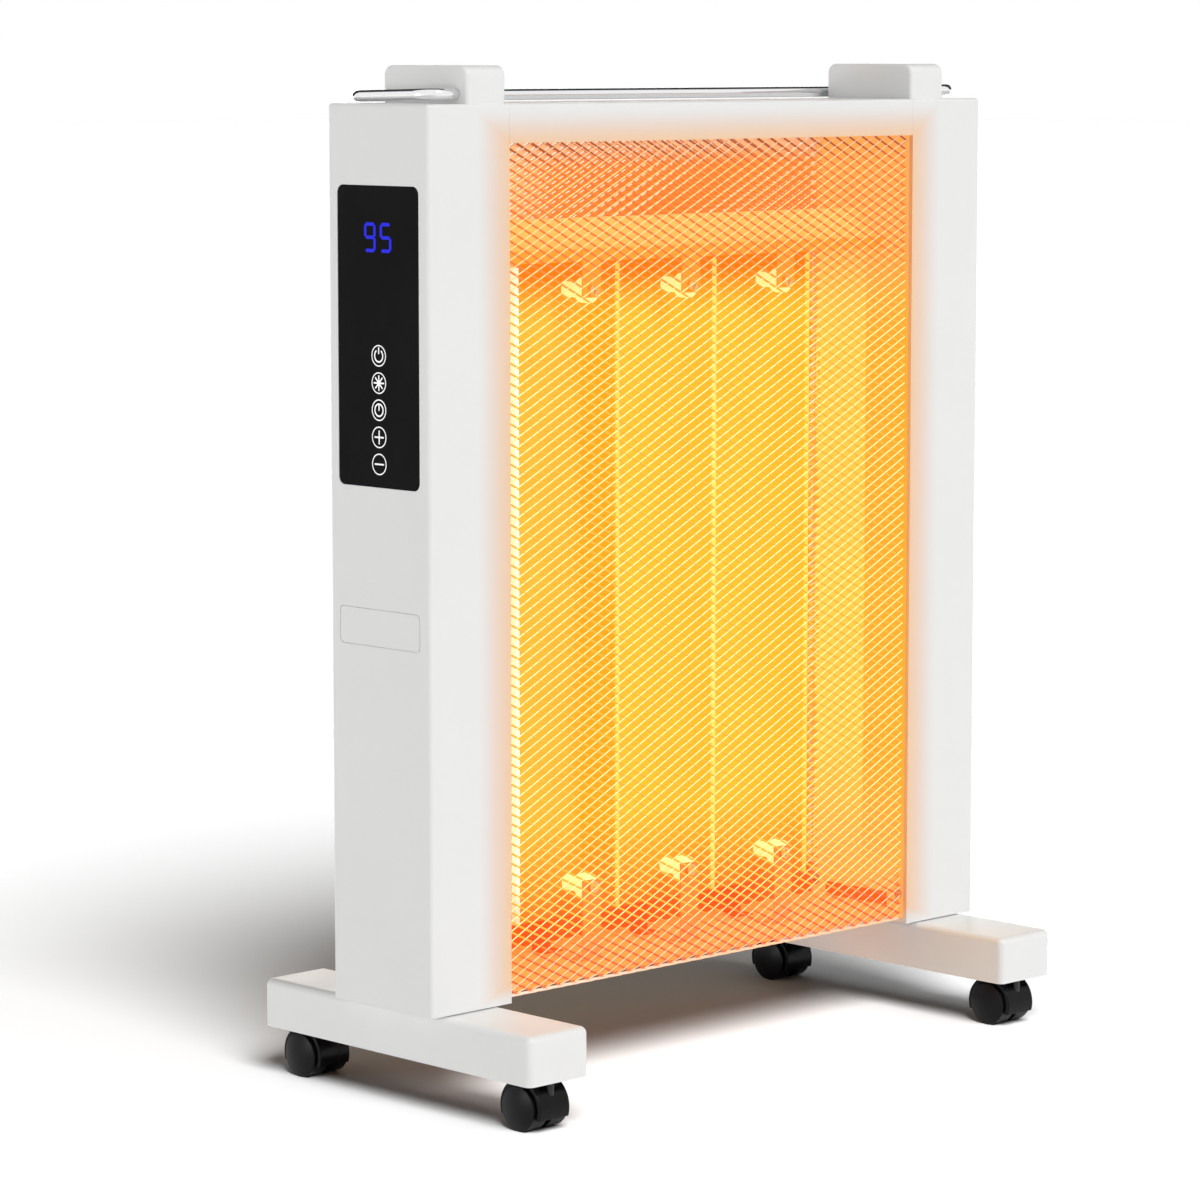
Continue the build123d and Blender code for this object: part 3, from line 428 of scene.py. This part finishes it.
def mica_board(name):
    """Layered mica with painted glow: yellow-orange over most of each board, with painted shade at its
    right side and under the flange at its top, and deeper orange at its foot.
    """
    material, tree, shader = new_material(name)
    vector = coordinates(tree)
    count = along(tree, "X", -1.5 * BOARD_PITCH, -0.5 * BOARD_PITCH)
    count.node.clamp = False
    across = tree.nodes.new("ShaderNodeMath")
    across.operation = "FRACT"
    tree.links.new(count, across.inputs[0])
    # Painted shade: the right third of the first board is a deeper orange.
    first = ramp(tree, across.outputs["Value"], [
        (0.0, seen(253, 193, 64)), (0.5, seen(252, 188, 56)), (0.66, seen(252, 173, 27)),
        (1.0, seen(252, 173, 27))])
    others = ramp(tree, across.outputs["Value"], [(0.0, seen(253, 203, 54)), (1.0, seen(253, 193, 42))])
    body = mixed(tree, along(tree, "X", -0.5 * BOARD_PITCH, -0.4 * BOARD_PITCH), first, others)
    flange_shade = along(tree, "Z", GLOW_TOP - 34 * MM, GLOW_TOP - 4 * MM)
    near_foot = along(tree, "Z", BOARD_FOOT + 62 * MM, BOARD_FOOT)
    # Painted shade under the flange, at the top of each board.
    body = mixed(tree, flange_shade, body, seen(250, 142, 24))
    body = mixed(tree, near_foot, body, seen(255, 126, 40))
    flakes = tree.nodes.new("ShaderNodeTexVoronoi")
    flakes.inputs["Scale"].default_value = 260.0
    tree.links.new(vector, flakes.inputs["Vector"])
    mottle = ramp(tree, noise(tree, vector, 40.0, 5.0), [(0.3, (0.94, 0.92, 0.88)), (0.7, WHITE_TONE)])
    painted_glow_with(tree, shader, multiplied(tree, body, mottle), MICA_GLOW)
    shader.inputs["Roughness"].default_value = 0.55
    shader.inputs["Specular IOR Level"].default_value = 0.2
    bump(tree, shader, flakes.outputs["Distance"], 0.05 * MM)
    return material


def ceramic(name):
    """Unglazed pressed ceramic with a sandy surface, with a bright painted glow for the boards' light."""
    material, tree, shader = new_material(name)
    vector = coordinates(tree)
    speckle = noise(tree, vector, 700.0, 4.0)
    sandy = ramp(tree, speckle, [(0.3, seen(255, 236, 140)), (0.6, seen(255, 248, 172))])
    painted_glow_with(tree, shader, sandy, CERAMIC_GLOW)
    shader.inputs["Roughness"].default_value = 0.6
    bump(tree, shader, speckle, 0.06 * MM)
    return material


def black_glass(name):
    """Back-printed touch glass: deep black, with the faintest cloud in its print and its gloss."""
    material, tree, shader = new_material(name)
    vector = coordinates(tree)
    cloud = noise(tree, vector, 25.0, 3.0)
    tree.links.new(ramp(tree, cloud, [(0.3, (0.0035, 0.0035, 0.004)), (0.7, (0.006, 0.006, 0.0065))]),
                   shader.inputs["Base Color"])
    tree.links.new(spread(tree, noise(tree, vector, 90.0), 0.05, 0.11), shader.inputs["Roughness"])
    shader.inputs["Specular IOR Level"].default_value = 0.05
    return material


def lit_print(name, colour, strength, base):
    """Print or a lamp window that shines through the glass, a little uneven across each mark."""
    material, tree, shader = new_material(name)
    vector = coordinates(tree)
    uneven = ramp(tree, noise(tree, vector, 700.0, 2.0), [(0.3, shade(colour, 0.86)), (0.7, colour)])
    tree.links.new(uneven, shader.inputs["Emission Color"])
    shader.inputs["Emission Strength"].default_value = strength
    shader.inputs["Base Color"].default_value = (*base, 1.0)
    shader.inputs["Roughness"].default_value = 0.3
    shader.inputs["Specular IOR Level"].default_value = 0.1
    return material


def strand_painted_glow(name, foot, middle, top, head, glow_strength, left=None):
    """Painted glow on the strands of the mesh, which changes from its foot to its head.

    left is the glow colour that it has at its left side, where that differs.
    """
    material, tree, shader = new_material(name)
    vector = coordinates(tree)
    height = along(tree, "Z", OPENING_FOOT, OPENING_TOP)
    paint = ramp(tree, height, [
        (STRAND_FOOT_END, foot), (STRAND_MIDDLE[0], middle), (STRAND_MIDDLE[1], middle),
        (STRAND_TOP[0], top), (STRAND_TOP[1], top), (STRAND_HEAD_START, head)])
    if left:
        paint = mixed(tree, along(tree, "X", -0.7 * BOARD_PITCH, -1.2 * BOARD_PITCH), paint, left)
    speckle = ramp(tree, noise(tree, vector, 300.0), [(0.3, (0.95, 0.94, 0.92)), (0.7, WHITE_TONE)])
    painted_glow_with(tree, shader, multiplied(tree, paint, speckle), glow_strength)
    tree.links.new(spread(tree, noise(tree, vector, 300.0), 0.35, 0.5), shader.inputs["Roughness"])
    shader.inputs["Specular IOR Level"].default_value = 0.3
    bump(tree, shader, noise(tree, vector, 1500.0, 2.0), 0.02 * MM)
    return material


def strand_glow_and_shade():
    """The painted glow on each side of the strands, by a short key: a lit copy on the rising strands and a
    shaded copy on the falling ones.
    """
    return {
        "rising": strand_painted_glow(
            "rising_strands_painted_light", foot=seen(255, 216, 172), middle=seen(255, 250, 172), top=seen(255, 220, 148),
            head=seen(240, 198, 160), glow_strength=RISING_GLOW),
        "falling": strand_painted_glow(
            "falling_strands_painted_shade", foot=seen(240, 112, 60), middle=seen(253, 194, 68), top=seen(248, 132, 62),
            head=seen(176, 96, 60), glow_strength=FALLING_GLOW),
        "inward": strand_painted_glow(
            "inward_strands", foot=seen(255, 116, 50), middle=seen(250, 158, 62), top=seen(252, 152, 66),
            head=seen(250, 190, 140), glow_strength=INWARD_GLOW, left=seen(252, 196, 140)),
    }


def materials():
    """Every material, by a short key."""
    white = (0.86, 0.86, 0.85)
    return strand_glow_and_shade() | {
        "white": plastic("white_plastic", white, roughness=0.42, tone=0.012),
        "casing": plastic_with_painted_glow("white_plastic_with_painted_glow", white),
        "chrome": metal("polished_chrome", (0.88, 0.88, 0.89), 0.05, grain=(0.02, 1.0, 1.0),
                        grain_scale=900.0, depth=0.0005),
        "steel": metal("zinc_plated_steel", (0.62, 0.62, 0.62), 0.34),
        # Painted glow: the studs' steel is tinted orange for the boards' light on it.
        "screw": metal("screw_steel_with_painted_glow", (0.95, 0.66, 0.28), 0.4),
        "axle": metal("axle_steel", (0.55, 0.55, 0.56), 0.28, grain=(0.05, 1.0, 1.0)),
        # Painted shade: the stem is made near black for the shade it sits in under the foot.
        "stem": plastic("stem_dark_for_painted_shade", (0.02, 0.02, 0.022), roughness=0.35, tone=0.2, depth=0.01,
                        specular=0.4),
        "bearing": plastic("bearing_plastic", (0.80, 0.80, 0.76), roughness=0.5),
        "pad": plastic("pad_rubber", (0.72, 0.72, 0.71), roughness=0.7, depth=0.04),
        "member": painted_sheet("member_paint_with_glow_and_shade", cross_member_glow_and_shade),
        "tray": painted_sheet("tray_paint_with_glow", tray_painted_glow),
        "plate": painted_sheet("inner_plate_paint", inner_plate_painted_glow),
        "bracket": painted_sheet("bracket_paint_with_glow", bracket_painted_glow),
        "hem": painted_sheet("hem_paint", hem_painted_glow, HEM_GLOW),
        "mica": mica_board("glowing_mica"),
        "channel": painted_sheet("channel_steel", channel_painted_glow, CHANNEL_GLOW, roughness=0.35),
        "ceramic": ceramic("spool_ceramic"),
        "glass": black_glass("touch_glass"),
        "digits": lit_print("blue_digits", (0.018, 0.022, 0.84), 0.95, (0.004, 0.004, 0.04)),
        "icons": lit_print("white_icons", (1.0, 1.0, 1.0), 0.4, (0.8, 0.8, 0.8)),
        "black": plastic("black_plastic", (0.035, 0.035, 0.04), roughness=0.42, tone=0.2),
        "board": plastic("circuit_board", (0.04, 0.19, 0.10), roughness=0.35, grain=1200.0, tone=0.15),
        "cutout": metal("cutout_aluminium", (0.70, 0.70, 0.70), 0.32),
        "grommet": plastic("grommet_rubber", (0.04, 0.04, 0.04), roughness=0.75, tone=0.2, depth=0.05),
        "lead": plastic("lead_sleeve", (0.78, 0.75, 0.68), roughness=0.6, tone=0.08, depth=0.04),
        "caster": plastic("caster_plastic", (0.004, 0.004, 0.005), roughness=0.26, tone=0.25, depth=0.01,
                          specular=0.14),
        "wheel": plastic("wheel_plastic", (0.004, 0.004, 0.005), roughness=0.34, tone=0.25, depth=0.015,
                         specular=0.14),
    }


NODE_MATERIALS = {
    "casing": ["left_column_shell", "right_column_shell", "top_beam"],
    "white": ["left_rail_block", "right_rail_block", "left_foot", "right_foot", "badge_plate"],
    "chrome": ["towel_rail"],
    "steel": ["rail_clips", "plate_screws", "foot_screws"],
    "screw": ["insulator_studs"],
    "bearing": ["rail_pivot_bushes", "touch_key_pads"],
    "pad": ["rail_rest_pads"],
    "member": ["upper_cross_member"],
    "tray": ["bottom_tray"],
    "bracket": ["lower_hangers"],
    "plate": ["left_inner_plate", "right_inner_plate"],
    "mica": ["left_mica_panel", "centre_mica_panel", "right_mica_panel"],
    "channel": ["panel_edge_channels"],
    "ceramic": ["ceramic_insulators"],
    "glass": ["touch_panel_glass"],
    "black": ["display_module", "board_components", "tip_over_switch", "room_sensor", "cord_gland"],
    "board": ["touch_board", "power_board"],
    "cutout": ["thermal_cutout"],
    "grommet": ["wire_grommet"],
    "lead": ["element_wiring"],
    "rising": ["front_grille", "back_grille"],
}


def dress_nodes(made):
    """Gives every node of the frame its material."""
    for key, names in NODE_MATERIALS.items():
        for name in names:
            assign(nodes[name], made[key])
    for corner in ("front_left", "front_right", "rear_left", "rear_right"):
        assign(nodes[f"{corner}_caster_hood"], made["caster"])
        assign(nodes[f"{corner}_caster_stem"], made["stem"])
        assign(nodes[f"{corner}_caster_axle"], made["axle"])
        for side in ("left", "right"):
            assign(nodes[f"{corner}_caster_wheel_{side}"], made["wheel"])


def assign(piece, material):
    """Puts one material on every slot of a piece."""
    if not piece.material_slots:
        piece.data.materials.append(material)
    for slot in piece.material_slots:
        slot.material = material


def new_piece(name, vertices, faces, finishes, finish_of_face=None):
    """A mesh piece on the heater, with one finish, or a list of them and the finish that each face has."""
    mesh = bpy.data.meshes.new(name)
    mesh.from_pydata(vertices, [], faces)
    for finish in finishes:
        mesh.materials.append(finish)
    if finish_of_face:
        mesh.polygons.foreach_set("material_index", finish_of_face)
    mesh.validate()
    piece = bpy.data.objects.new(name, mesh)
    bpy.context.scene.collection.objects.link(piece)
    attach(piece, BODY)
    return piece


# Expanded mesh

def mesh_place(u, s):
    """Where a point of the flat mesh ends up once the sheet is folded.

    u runs across the sheet and s down it. The result is the point and its two sheet directions.
    """
    half_arc = MESH_CURL_RADIUS * math.pi / 2
    flat = MESH_TOP - MESH_CURL_Z
    if s <= flat:
        y, z, down_y, down_z = MESH_FRONT_Y, MESH_TOP - s, 0.0, -1.0
    elif s <= flat + half_arc:
        turn = (s - flat) / MESH_CURL_RADIUS
        y = MESH_FRONT_Y + MESH_CURL_RADIUS * (1 - math.cos(turn))
        z = MESH_CURL_Z - MESH_CURL_RADIUS * math.sin(turn)
        down_y, down_z = math.sin(turn), -math.cos(turn)
    else:
        y = MESH_FRONT_Y + MESH_CURL_RADIUS + (s - flat - half_arc)
        z, down_y, down_z = MESH_CURL_Z - MESH_CURL_RADIUS, 1.0, 0.0
    if abs(u) <= MESH_HALF_WIDTH:
        return Vector((u, y, z)), Vector((1, 0, 0)), Vector((0, down_y, down_z))
    side = math.copysign(1.0, u)
    over = abs(u) - MESH_HALF_WIDTH
    return Vector((side * MESH_HALF_WIDTH, y + over, z)), Vector((0, side, 0)), Vector((0, down_y, down_z))


def strand(a, b, width, vertices, faces, finish_of_face):
    """One ribbon of the expanded mesh between two lattice points, facing outwards and down.

    Its inner side has the inner finish, a painted glow. The rest has the painted light of the rising
    strands or the painted shade of the falling ones, by the way that it runs towards the right.
    """
    start, across, down = mesh_place(*a)
    end = mesh_place(*b)[0]
    course = (end - start).normalized()
    outward = down.cross(across)
    facing = math.cos(STRAND_TILT) * outward + math.sin(STRAND_TILT) * down
    facing = (facing - facing.dot(course) * course).normalized()
    flank = facing.cross(course)
    half_width, half_thick = width / 2, STRAND_THICK / 2
    first = len(vertices)
    for point in (start, end):
        for i, j in ((-1, -1), (1, -1), (1, 1), (-1, 1)):
            vertices.append(point + flank * (i * half_width) + facing * (j * half_thick))
    for k in range(4):
        m = (k + 1) % 4
        faces.append((first + k, first + m, first + 4 + m, first + 4 + k))
    faces.append((first + 3, first + 2, first + 1, first))
    faces.append((first + 4, first + 5, first + 6, first + 7))
    outer = RISING_PAINTED_LIGHT if b[1] < a[1] else FALLING_PAINTED_SHADE
    finish_of_face += [INNER_FINISH, outer, outer, outer, outer, outer]


def hem(vertices, faces, finish_of_face):
    """The rolled edge along the foot of the mesh."""
    low = MESH_TOP - MESH_CURL_Z + HEM_ALONG_CURL * MESH_CURL_RADIUS * math.pi / 2
    first = len(vertices)
    for side in (-1, 1):
        centre = mesh_place(side * MESH_HALF_WIDTH, low)[0]
        for k in range(HEM_SIDES):
            turn = 2 * math.pi * k / HEM_SIDES
            vertices.append(centre + HEM_RADIUS * Vector((0, math.cos(turn), math.sin(turn))))
    for k in range(HEM_SIDES):
        m = (k + 1) % HEM_SIDES
        faces.append((first + HEM_SIDES + k, first + HEM_SIDES + m, first + m, first + k))
    faces.append([first + HEM_SIDES - 1 - k for k in range(HEM_SIDES)])
    faces.append([first + HEM_SIDES + k for k in range(HEM_SIDES)])
    finish_of_face += [HEM_FINISH] * (HEM_SIDES + 2)


def fine_mesh(name, node, back, finishes):
    """Expanded metal with staggered diamonds, folded at both sides and curled at its foot."""
    width = BACK_STRAND_WIDTH if back else STRAND_WIDTH
    flat = MESH_TOP - MESH_CURL_Z
    full_s = flat + MESH_CURL_RADIUS * math.pi / 2 + MESH_LIP
    full_u = MESH_HALF_WIDTH + MESH_RETURN
    half_columns = int(full_u / MESH_HALF_X)
    rows = int(full_s / MESH_HALF_Z)
    vertices, faces, finish_of_face = [], [], []
    for row in range(rows + 1):
        s = row * MESH_HALF_Z
        for column in range(-half_columns, half_columns):
            if (row + column) % 2:
                continue
            u = column * MESH_HALF_X
            for step in (-1, 1):
                end_s = s + step * MESH_HALF_Z
                if end_s < 0 or end_s > full_s:
                    continue
                end_u = u + MESH_HALF_X
                curled = max(s, end_s) > flat - MESH_CORNER_CUT
                folded = max(abs(u), abs(end_u)) > MESH_HALF_WIDTH
                if curled and folded:
                    continue
                strand((u, s), (end_u, end_s), width, vertices, faces, finish_of_face)
    hem(vertices, faces, finish_of_face)
    if back:
        vertices = [(x, -y, z) for x, y, z in vertices]
        faces = [face[::-1] for face in faces]
    piece = new_piece(name, vertices, faces, finishes, finish_of_face=finish_of_face)
    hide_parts(node)


# Marks on the touch glass

def glass_point(h, v, lift):
    """A point on the touch glass: h to the reader's right, v up, from the middle of the heater's frame."""
    return (GLASS_FACE_X - lift, -h, v)


def mark(outline, vertices, faces, hole=None):
    """A thin flat mark with the given outline, and a matching inner outline when it is a ring."""
    first = len(vertices)
    count = len(outline)
    loops = [outline] if hole is None else [outline, hole]
    for loop in loops:
        for lift in (0.0, INK_HEIGHT):
            vertices.extend(glass_point(h, v, lift) for h, v in loop)
    bottom, top = first, first + count
    if hole is None:
        faces.append([top + i for i in range(count)])
    for i in range(count):
        j = (i + 1) % count
        faces.append((bottom + i, bottom + j, top + j, top + i))
        if hole is not None:
            faces.append((top + i, top + j, top + 2 * count + j, top + 2 * count + i))


def bar_outline(a, b, stroke, end_steps=6):
    """A straight stroke with round ends."""
    (ah, av), (bh, bv) = a, b
    angle = math.atan2(bv - av, bh - ah)
    points = []
    for (h, v), turn in ((b, -math.pi / 2), (a, math.pi / 2)):
        for i in range(end_steps + 1):
            t = angle + turn + math.pi * i / end_steps
            points.append((h + math.cos(t) * stroke / 2, v + math.sin(t) * stroke / 2))
    return points


def round_point(centre, radius, turn):
    return (centre[0] + math.cos(turn) * radius, centre[1] + math.sin(turn) * radius)


def arc_strip(centre, radius, stroke, start, end, steps=40):
    """The outline of part of a ring."""
    turns = [start + (end - start) * i / steps for i in range(steps + 1)]
    outer = [round_point(centre, radius + stroke / 2, turn) for turn in turns]
    inner = [round_point(centre, radius - stroke / 2, turn) for turn in turns]
    return outer + inner[::-1]


def ring(centre, radius, stroke, vertices, faces, steps=48):
    turns = [2 * math.pi * i / steps for i in range(steps)]
    outer = [round_point(centre, radius + stroke / 2, turn) for turn in turns]
    inner = [round_point(centre, radius - stroke / 2, turn) for turn in turns]
    mark(outer, vertices, faces, hole=inner)


# Ends of each segment of a digit, in cells from its lower left corner
SEGMENTS = {
    "top": ((0, 2), (1, 2)),
    "upper_left": ((0, 1), (0, 2)),
    "upper_right": ((1, 1), (1, 2)),
    "middle": ((0, 1), (1, 1)),
    "lower_left": ((0, 0), (0, 1)),
    "lower_right": ((1, 0), (1, 1)),
    "bottom": ((0, 0), (1, 0)),
}
DIGIT_SHAPES = [
    ["top", "upper_left", "upper_right", "middle", "lower_right", "bottom"],
    ["top", "upper_left", "middle", "lower_right", "bottom"],
]


def display_digits(material):
    """Two seven-segment digits."""
    vertices, faces = [], []
    width = DIGIT_WIDTH - DIGIT_STROKE
    half = (DIGIT_HEIGHT - DIGIT_STROKE) / 2
    centre_y, centre_z = DISPLAY_CENTRE
    for place, names in zip((-0.5, 0.5), DIGIT_SHAPES):
        left = -centre_y + place * DIGIT_PITCH - width / 2
        foot = centre_z - half
        for name in names:
            (ah, av), (bh, bv) = SEGMENTS[name]
            a = Vector((left + ah * width, foot + av * half))
            b = Vector((left + bh * width, foot + bv * half))
            inset = (b - a).normalized() * DIGIT_INSET
            mark(bar_outline(a + inset, b - inset, DIGIT_STROKE), vertices, faces)
    new_piece("display_digits", vertices, faces, [material])


def key_icons(material):
    """Printed rings with a power sign, a sun, a timer, a plus and a minus."""
    vertices, faces = [], []
    centres = [(0.0, z) for z in KEY_HEIGHTS]
    for centre in centres:
        ring(centre, KEY_RADIUS - KEY_STROKE / 2, KEY_STROKE, vertices, faces)
    power, sun, timer, plus, minus = centres
    power_sign(power, vertices, faces)
    sun_sign(sun, vertices, faces)
    ring(timer, SIGN_RADIUS, SIGN_STROKE, vertices, faces)
    sign_stroke(timer, (0.0, 0.0), (0.0, 0.42), vertices, faces)
    arm = 0.58
    sign_stroke(plus, (-arm, 0.0), (arm, 0.0), vertices, faces)
    sign_stroke(plus, (0.0, -arm), (0.0, arm), vertices, faces)
    sign_stroke(minus, (-arm, 0.0), (arm, 0.0), vertices, faces)
    new_piece("key_icons", vertices, faces, [material])


def power_sign(centre, vertices, faces):
    """A ring that is open at its top, with a stroke in the gap."""
    up = math.pi / 2
    open_half = math.radians(34)
    first, last = up + open_half, up + 2 * math.pi - open_half
    mark(arc_strip(centre, SIGN_RADIUS, SIGN_STROKE, first, last), vertices, faces)
    sign_stroke(centre, (0.0, 0.22), (0.0, 0.72), vertices, faces)


def sun_sign(centre, vertices, faces):
    """A disc with rays."""
    rays, disc_points = 8, 16
    ray_start, ray_end, disc_radius = 0.16, 0.66, 0.2 * KEY_RADIUS
    for i in range(rays):
        turn = 2 * math.pi * i / rays
        start = round_point((0.0, 0.0), ray_start, turn)
        end = round_point((0.0, 0.0), ray_end, turn)
        sign_stroke(centre, start, end, vertices, faces)
    disc = [round_point(centre, disc_radius, 2 * math.pi * i / disc_points) for i in range(disc_points)]
    mark(disc, vertices, faces)


def sign_stroke(centre, start, end, vertices, faces):
    """A stroke of a sign, whose ends are given in key radii from the key's centre."""
    a = (centre[0] + start[0] * KEY_RADIUS, centre[1] + start[1] * KEY_RADIUS)
    b = (centre[0] + end[0] * KEY_RADIUS, centre[1] + end[1] * KEY_RADIUS)
    mark(bar_outline(a, b, SIGN_STROKE), vertices, faces)


# Stage, lights and camera

def ray_kind(tree, *kinds):
    """1 for the named kinds of ray, and 0 for the others."""
    path = tree.nodes.new("ShaderNodeLightPath")
    value = path.outputs[kinds[0]]
    for kind in kinds[1:]:
        value = biggest(tree, value, path.outputs[kind])
    return value


def floor():
    """White paper. It looks brighter to the camera than it lights the heater, and keeps the shadow."""
    bpy.ops.mesh.primitive_plane_add(size=FLOOR_SIZE, location=(0.0, 0.0, 0.0))
    plane = bpy.context.object
    plane.name = "studio_floor"
    material, tree, shader = new_material("floor_paper")
    tree.nodes.remove(shader)
    paper = tree.nodes.new("ShaderNodeBsdfDiffuse")
    tree.links.new(paper.outputs["BSDF"], tree.nodes["Material Output"].inputs["Surface"])
    vector = coordinates(tree)
    tone = ramp(tree, noise(tree, vector, 3.0), [(0.3, (0.98, 0.98, 0.98)), (0.7, WHITE_TONE)])
    level = spread(tree, ray_kind(tree, "Is Camera Ray", "Is Glossy Ray", "Is Transmission Ray"),
                   FLOOR_BOUNCE, FLOOR_SEEN)
    colour = tree.nodes.new("ShaderNodeVectorMath")
    colour.operation = "SCALE"
    tree.links.new(tone, colour.inputs[0])
    tree.links.new(level, colour.inputs["Scale"])
    tree.links.new(colour.outputs["Vector"], paper.inputs["Color"])
    plane.data.materials.append(material)
    return plane


def world():
    """A plain white room. Glossy rays also see a dark flag behind the heater, which outlines its chrome."""
    sky = bpy.data.worlds.new("studio")
    sky.use_nodes = True
    tree = sky.node_tree
    background = tree.nodes["Background"]
    background.inputs["Color"].default_value = (1.0, 1.0, 1.0, 1.0)
    place = tree.nodes.new("ShaderNodeTexCoord")
    towards = tree.nodes.new("ShaderNodeVectorMath")
    towards.operation = "DOT_PRODUCT"
    towards.inputs[1].default_value = Vector(FLAG_TOWARDS).normalized()
    tree.links.new(place.outputs["Generated"], towards.inputs[0])
    band = ramp(tree, towards.outputs["Value"], [(FLAG_EDGE[0], WHITE_TONE), (FLAG_EDGE[1], FLAG_TONE)])
    plain = spread(tree, ray_kind(tree, "Is Camera Ray", "Is Transmission Ray"), WORLD_LIGHT, 1.0)
    strength = tree.nodes.new("ShaderNodeMix")
    tree.links.new(ray_kind(tree, "Is Glossy Ray"), strength.inputs["Factor"])
    tree.links.new(plain, strength.inputs["A"])
    tree.links.new(band, strength.inputs["B"])
    tree.links.new(strength.outputs["Result"], background.inputs["Strength"])
    bpy.context.scene.world = sky


def sun(name, travel, spread_angle, strength):
    """A distant light that travels one way, with its rays spread over an angle in degrees."""
    data = bpy.data.lights.new(name, "SUN")
    data.angle = math.radians(spread_angle)
    data.energy = strength
    light = bpy.data.objects.new(name, data)
    bpy.context.scene.collection.objects.link(light)
    light.rotation_euler = Vector(travel).to_track_quat("-Z", "Y").to_euler()
    return light


def fill_lamp(name, place, size, power):
    """A soft rectangular light that points at the middle of the heater."""
    data = bpy.data.lights.new(name, "AREA")
    data.shape = "RECTANGLE"
    data.size, data.size_y = size
    data.energy = power
    light = bpy.data.objects.new(name, data)
    bpy.context.scene.collection.objects.link(light)
    light.location = place
    light.rotation_euler = (Vector(FILL_TARGET) - Vector(place)).to_track_quat("-Z", "Y").to_euler()


def lamps(paper):
    """A key light from the front, a stronger one that lights only the grey paper, and two low fills."""
    sun("key", KEY_TRAVEL, KEY_SPREAD, KEY_STRENGTH)
    paper_only = bpy.data.collections.new("paper_only")
    paper_only.objects.link(paper)
    paper_key = sun("paper_key", FLOOR_SUN_TRAVEL, FLOOR_SUN_SPREAD, FLOOR_SUN_STRENGTH)
    paper_key.light_linking.receiver_collection = paper_only
    fill_lamp("left_fill", LEFT_FILL_PLACE, LEFT_FILL_SIZE, LEFT_FILL_POWER)
    fill_lamp("back_fill", BACK_FILL_PLACE, BACK_FILL_SIZE, BACK_FILL_POWER)


def camera():
    """The camera, at the photograph's place and angle."""
    data = bpy.data.cameras.new("view")
    data.lens = CAMERA_LENS
    data.sensor_width = CAMERA_SENSOR
    data.clip_start = CAMERA_NEAR
    data.clip_end = CAMERA_FAR
    eye = bpy.data.objects.new("view", data)
    bpy.context.scene.collection.objects.link(eye)
    eye.location = CAMERA_PLACE
    turn, down = math.radians(CAMERA_TURN), math.radians(CAMERA_DOWN)
    look = Vector((math.cos(turn) * math.cos(down), math.sin(turn) * math.cos(down), -math.sin(down)))
    eye.rotation_euler = look.to_track_quat("-Z", "Y").to_euler()
    bpy.context.scene.camera = eye


bpy.context.scene.view_settings.view_transform = "Standard"
camera()
world()
lamps(floor())
made = materials()
dress_nodes(made)
mesh_finishes = [made["rising"], made["falling"], made["inward"], made["hem"]]
fine_mesh("front_mesh", "front_grille", False, mesh_finishes)
fine_mesh("back_mesh", "back_grille", True, mesh_finishes)
display_digits(made["digits"])
key_icons(made["icons"])
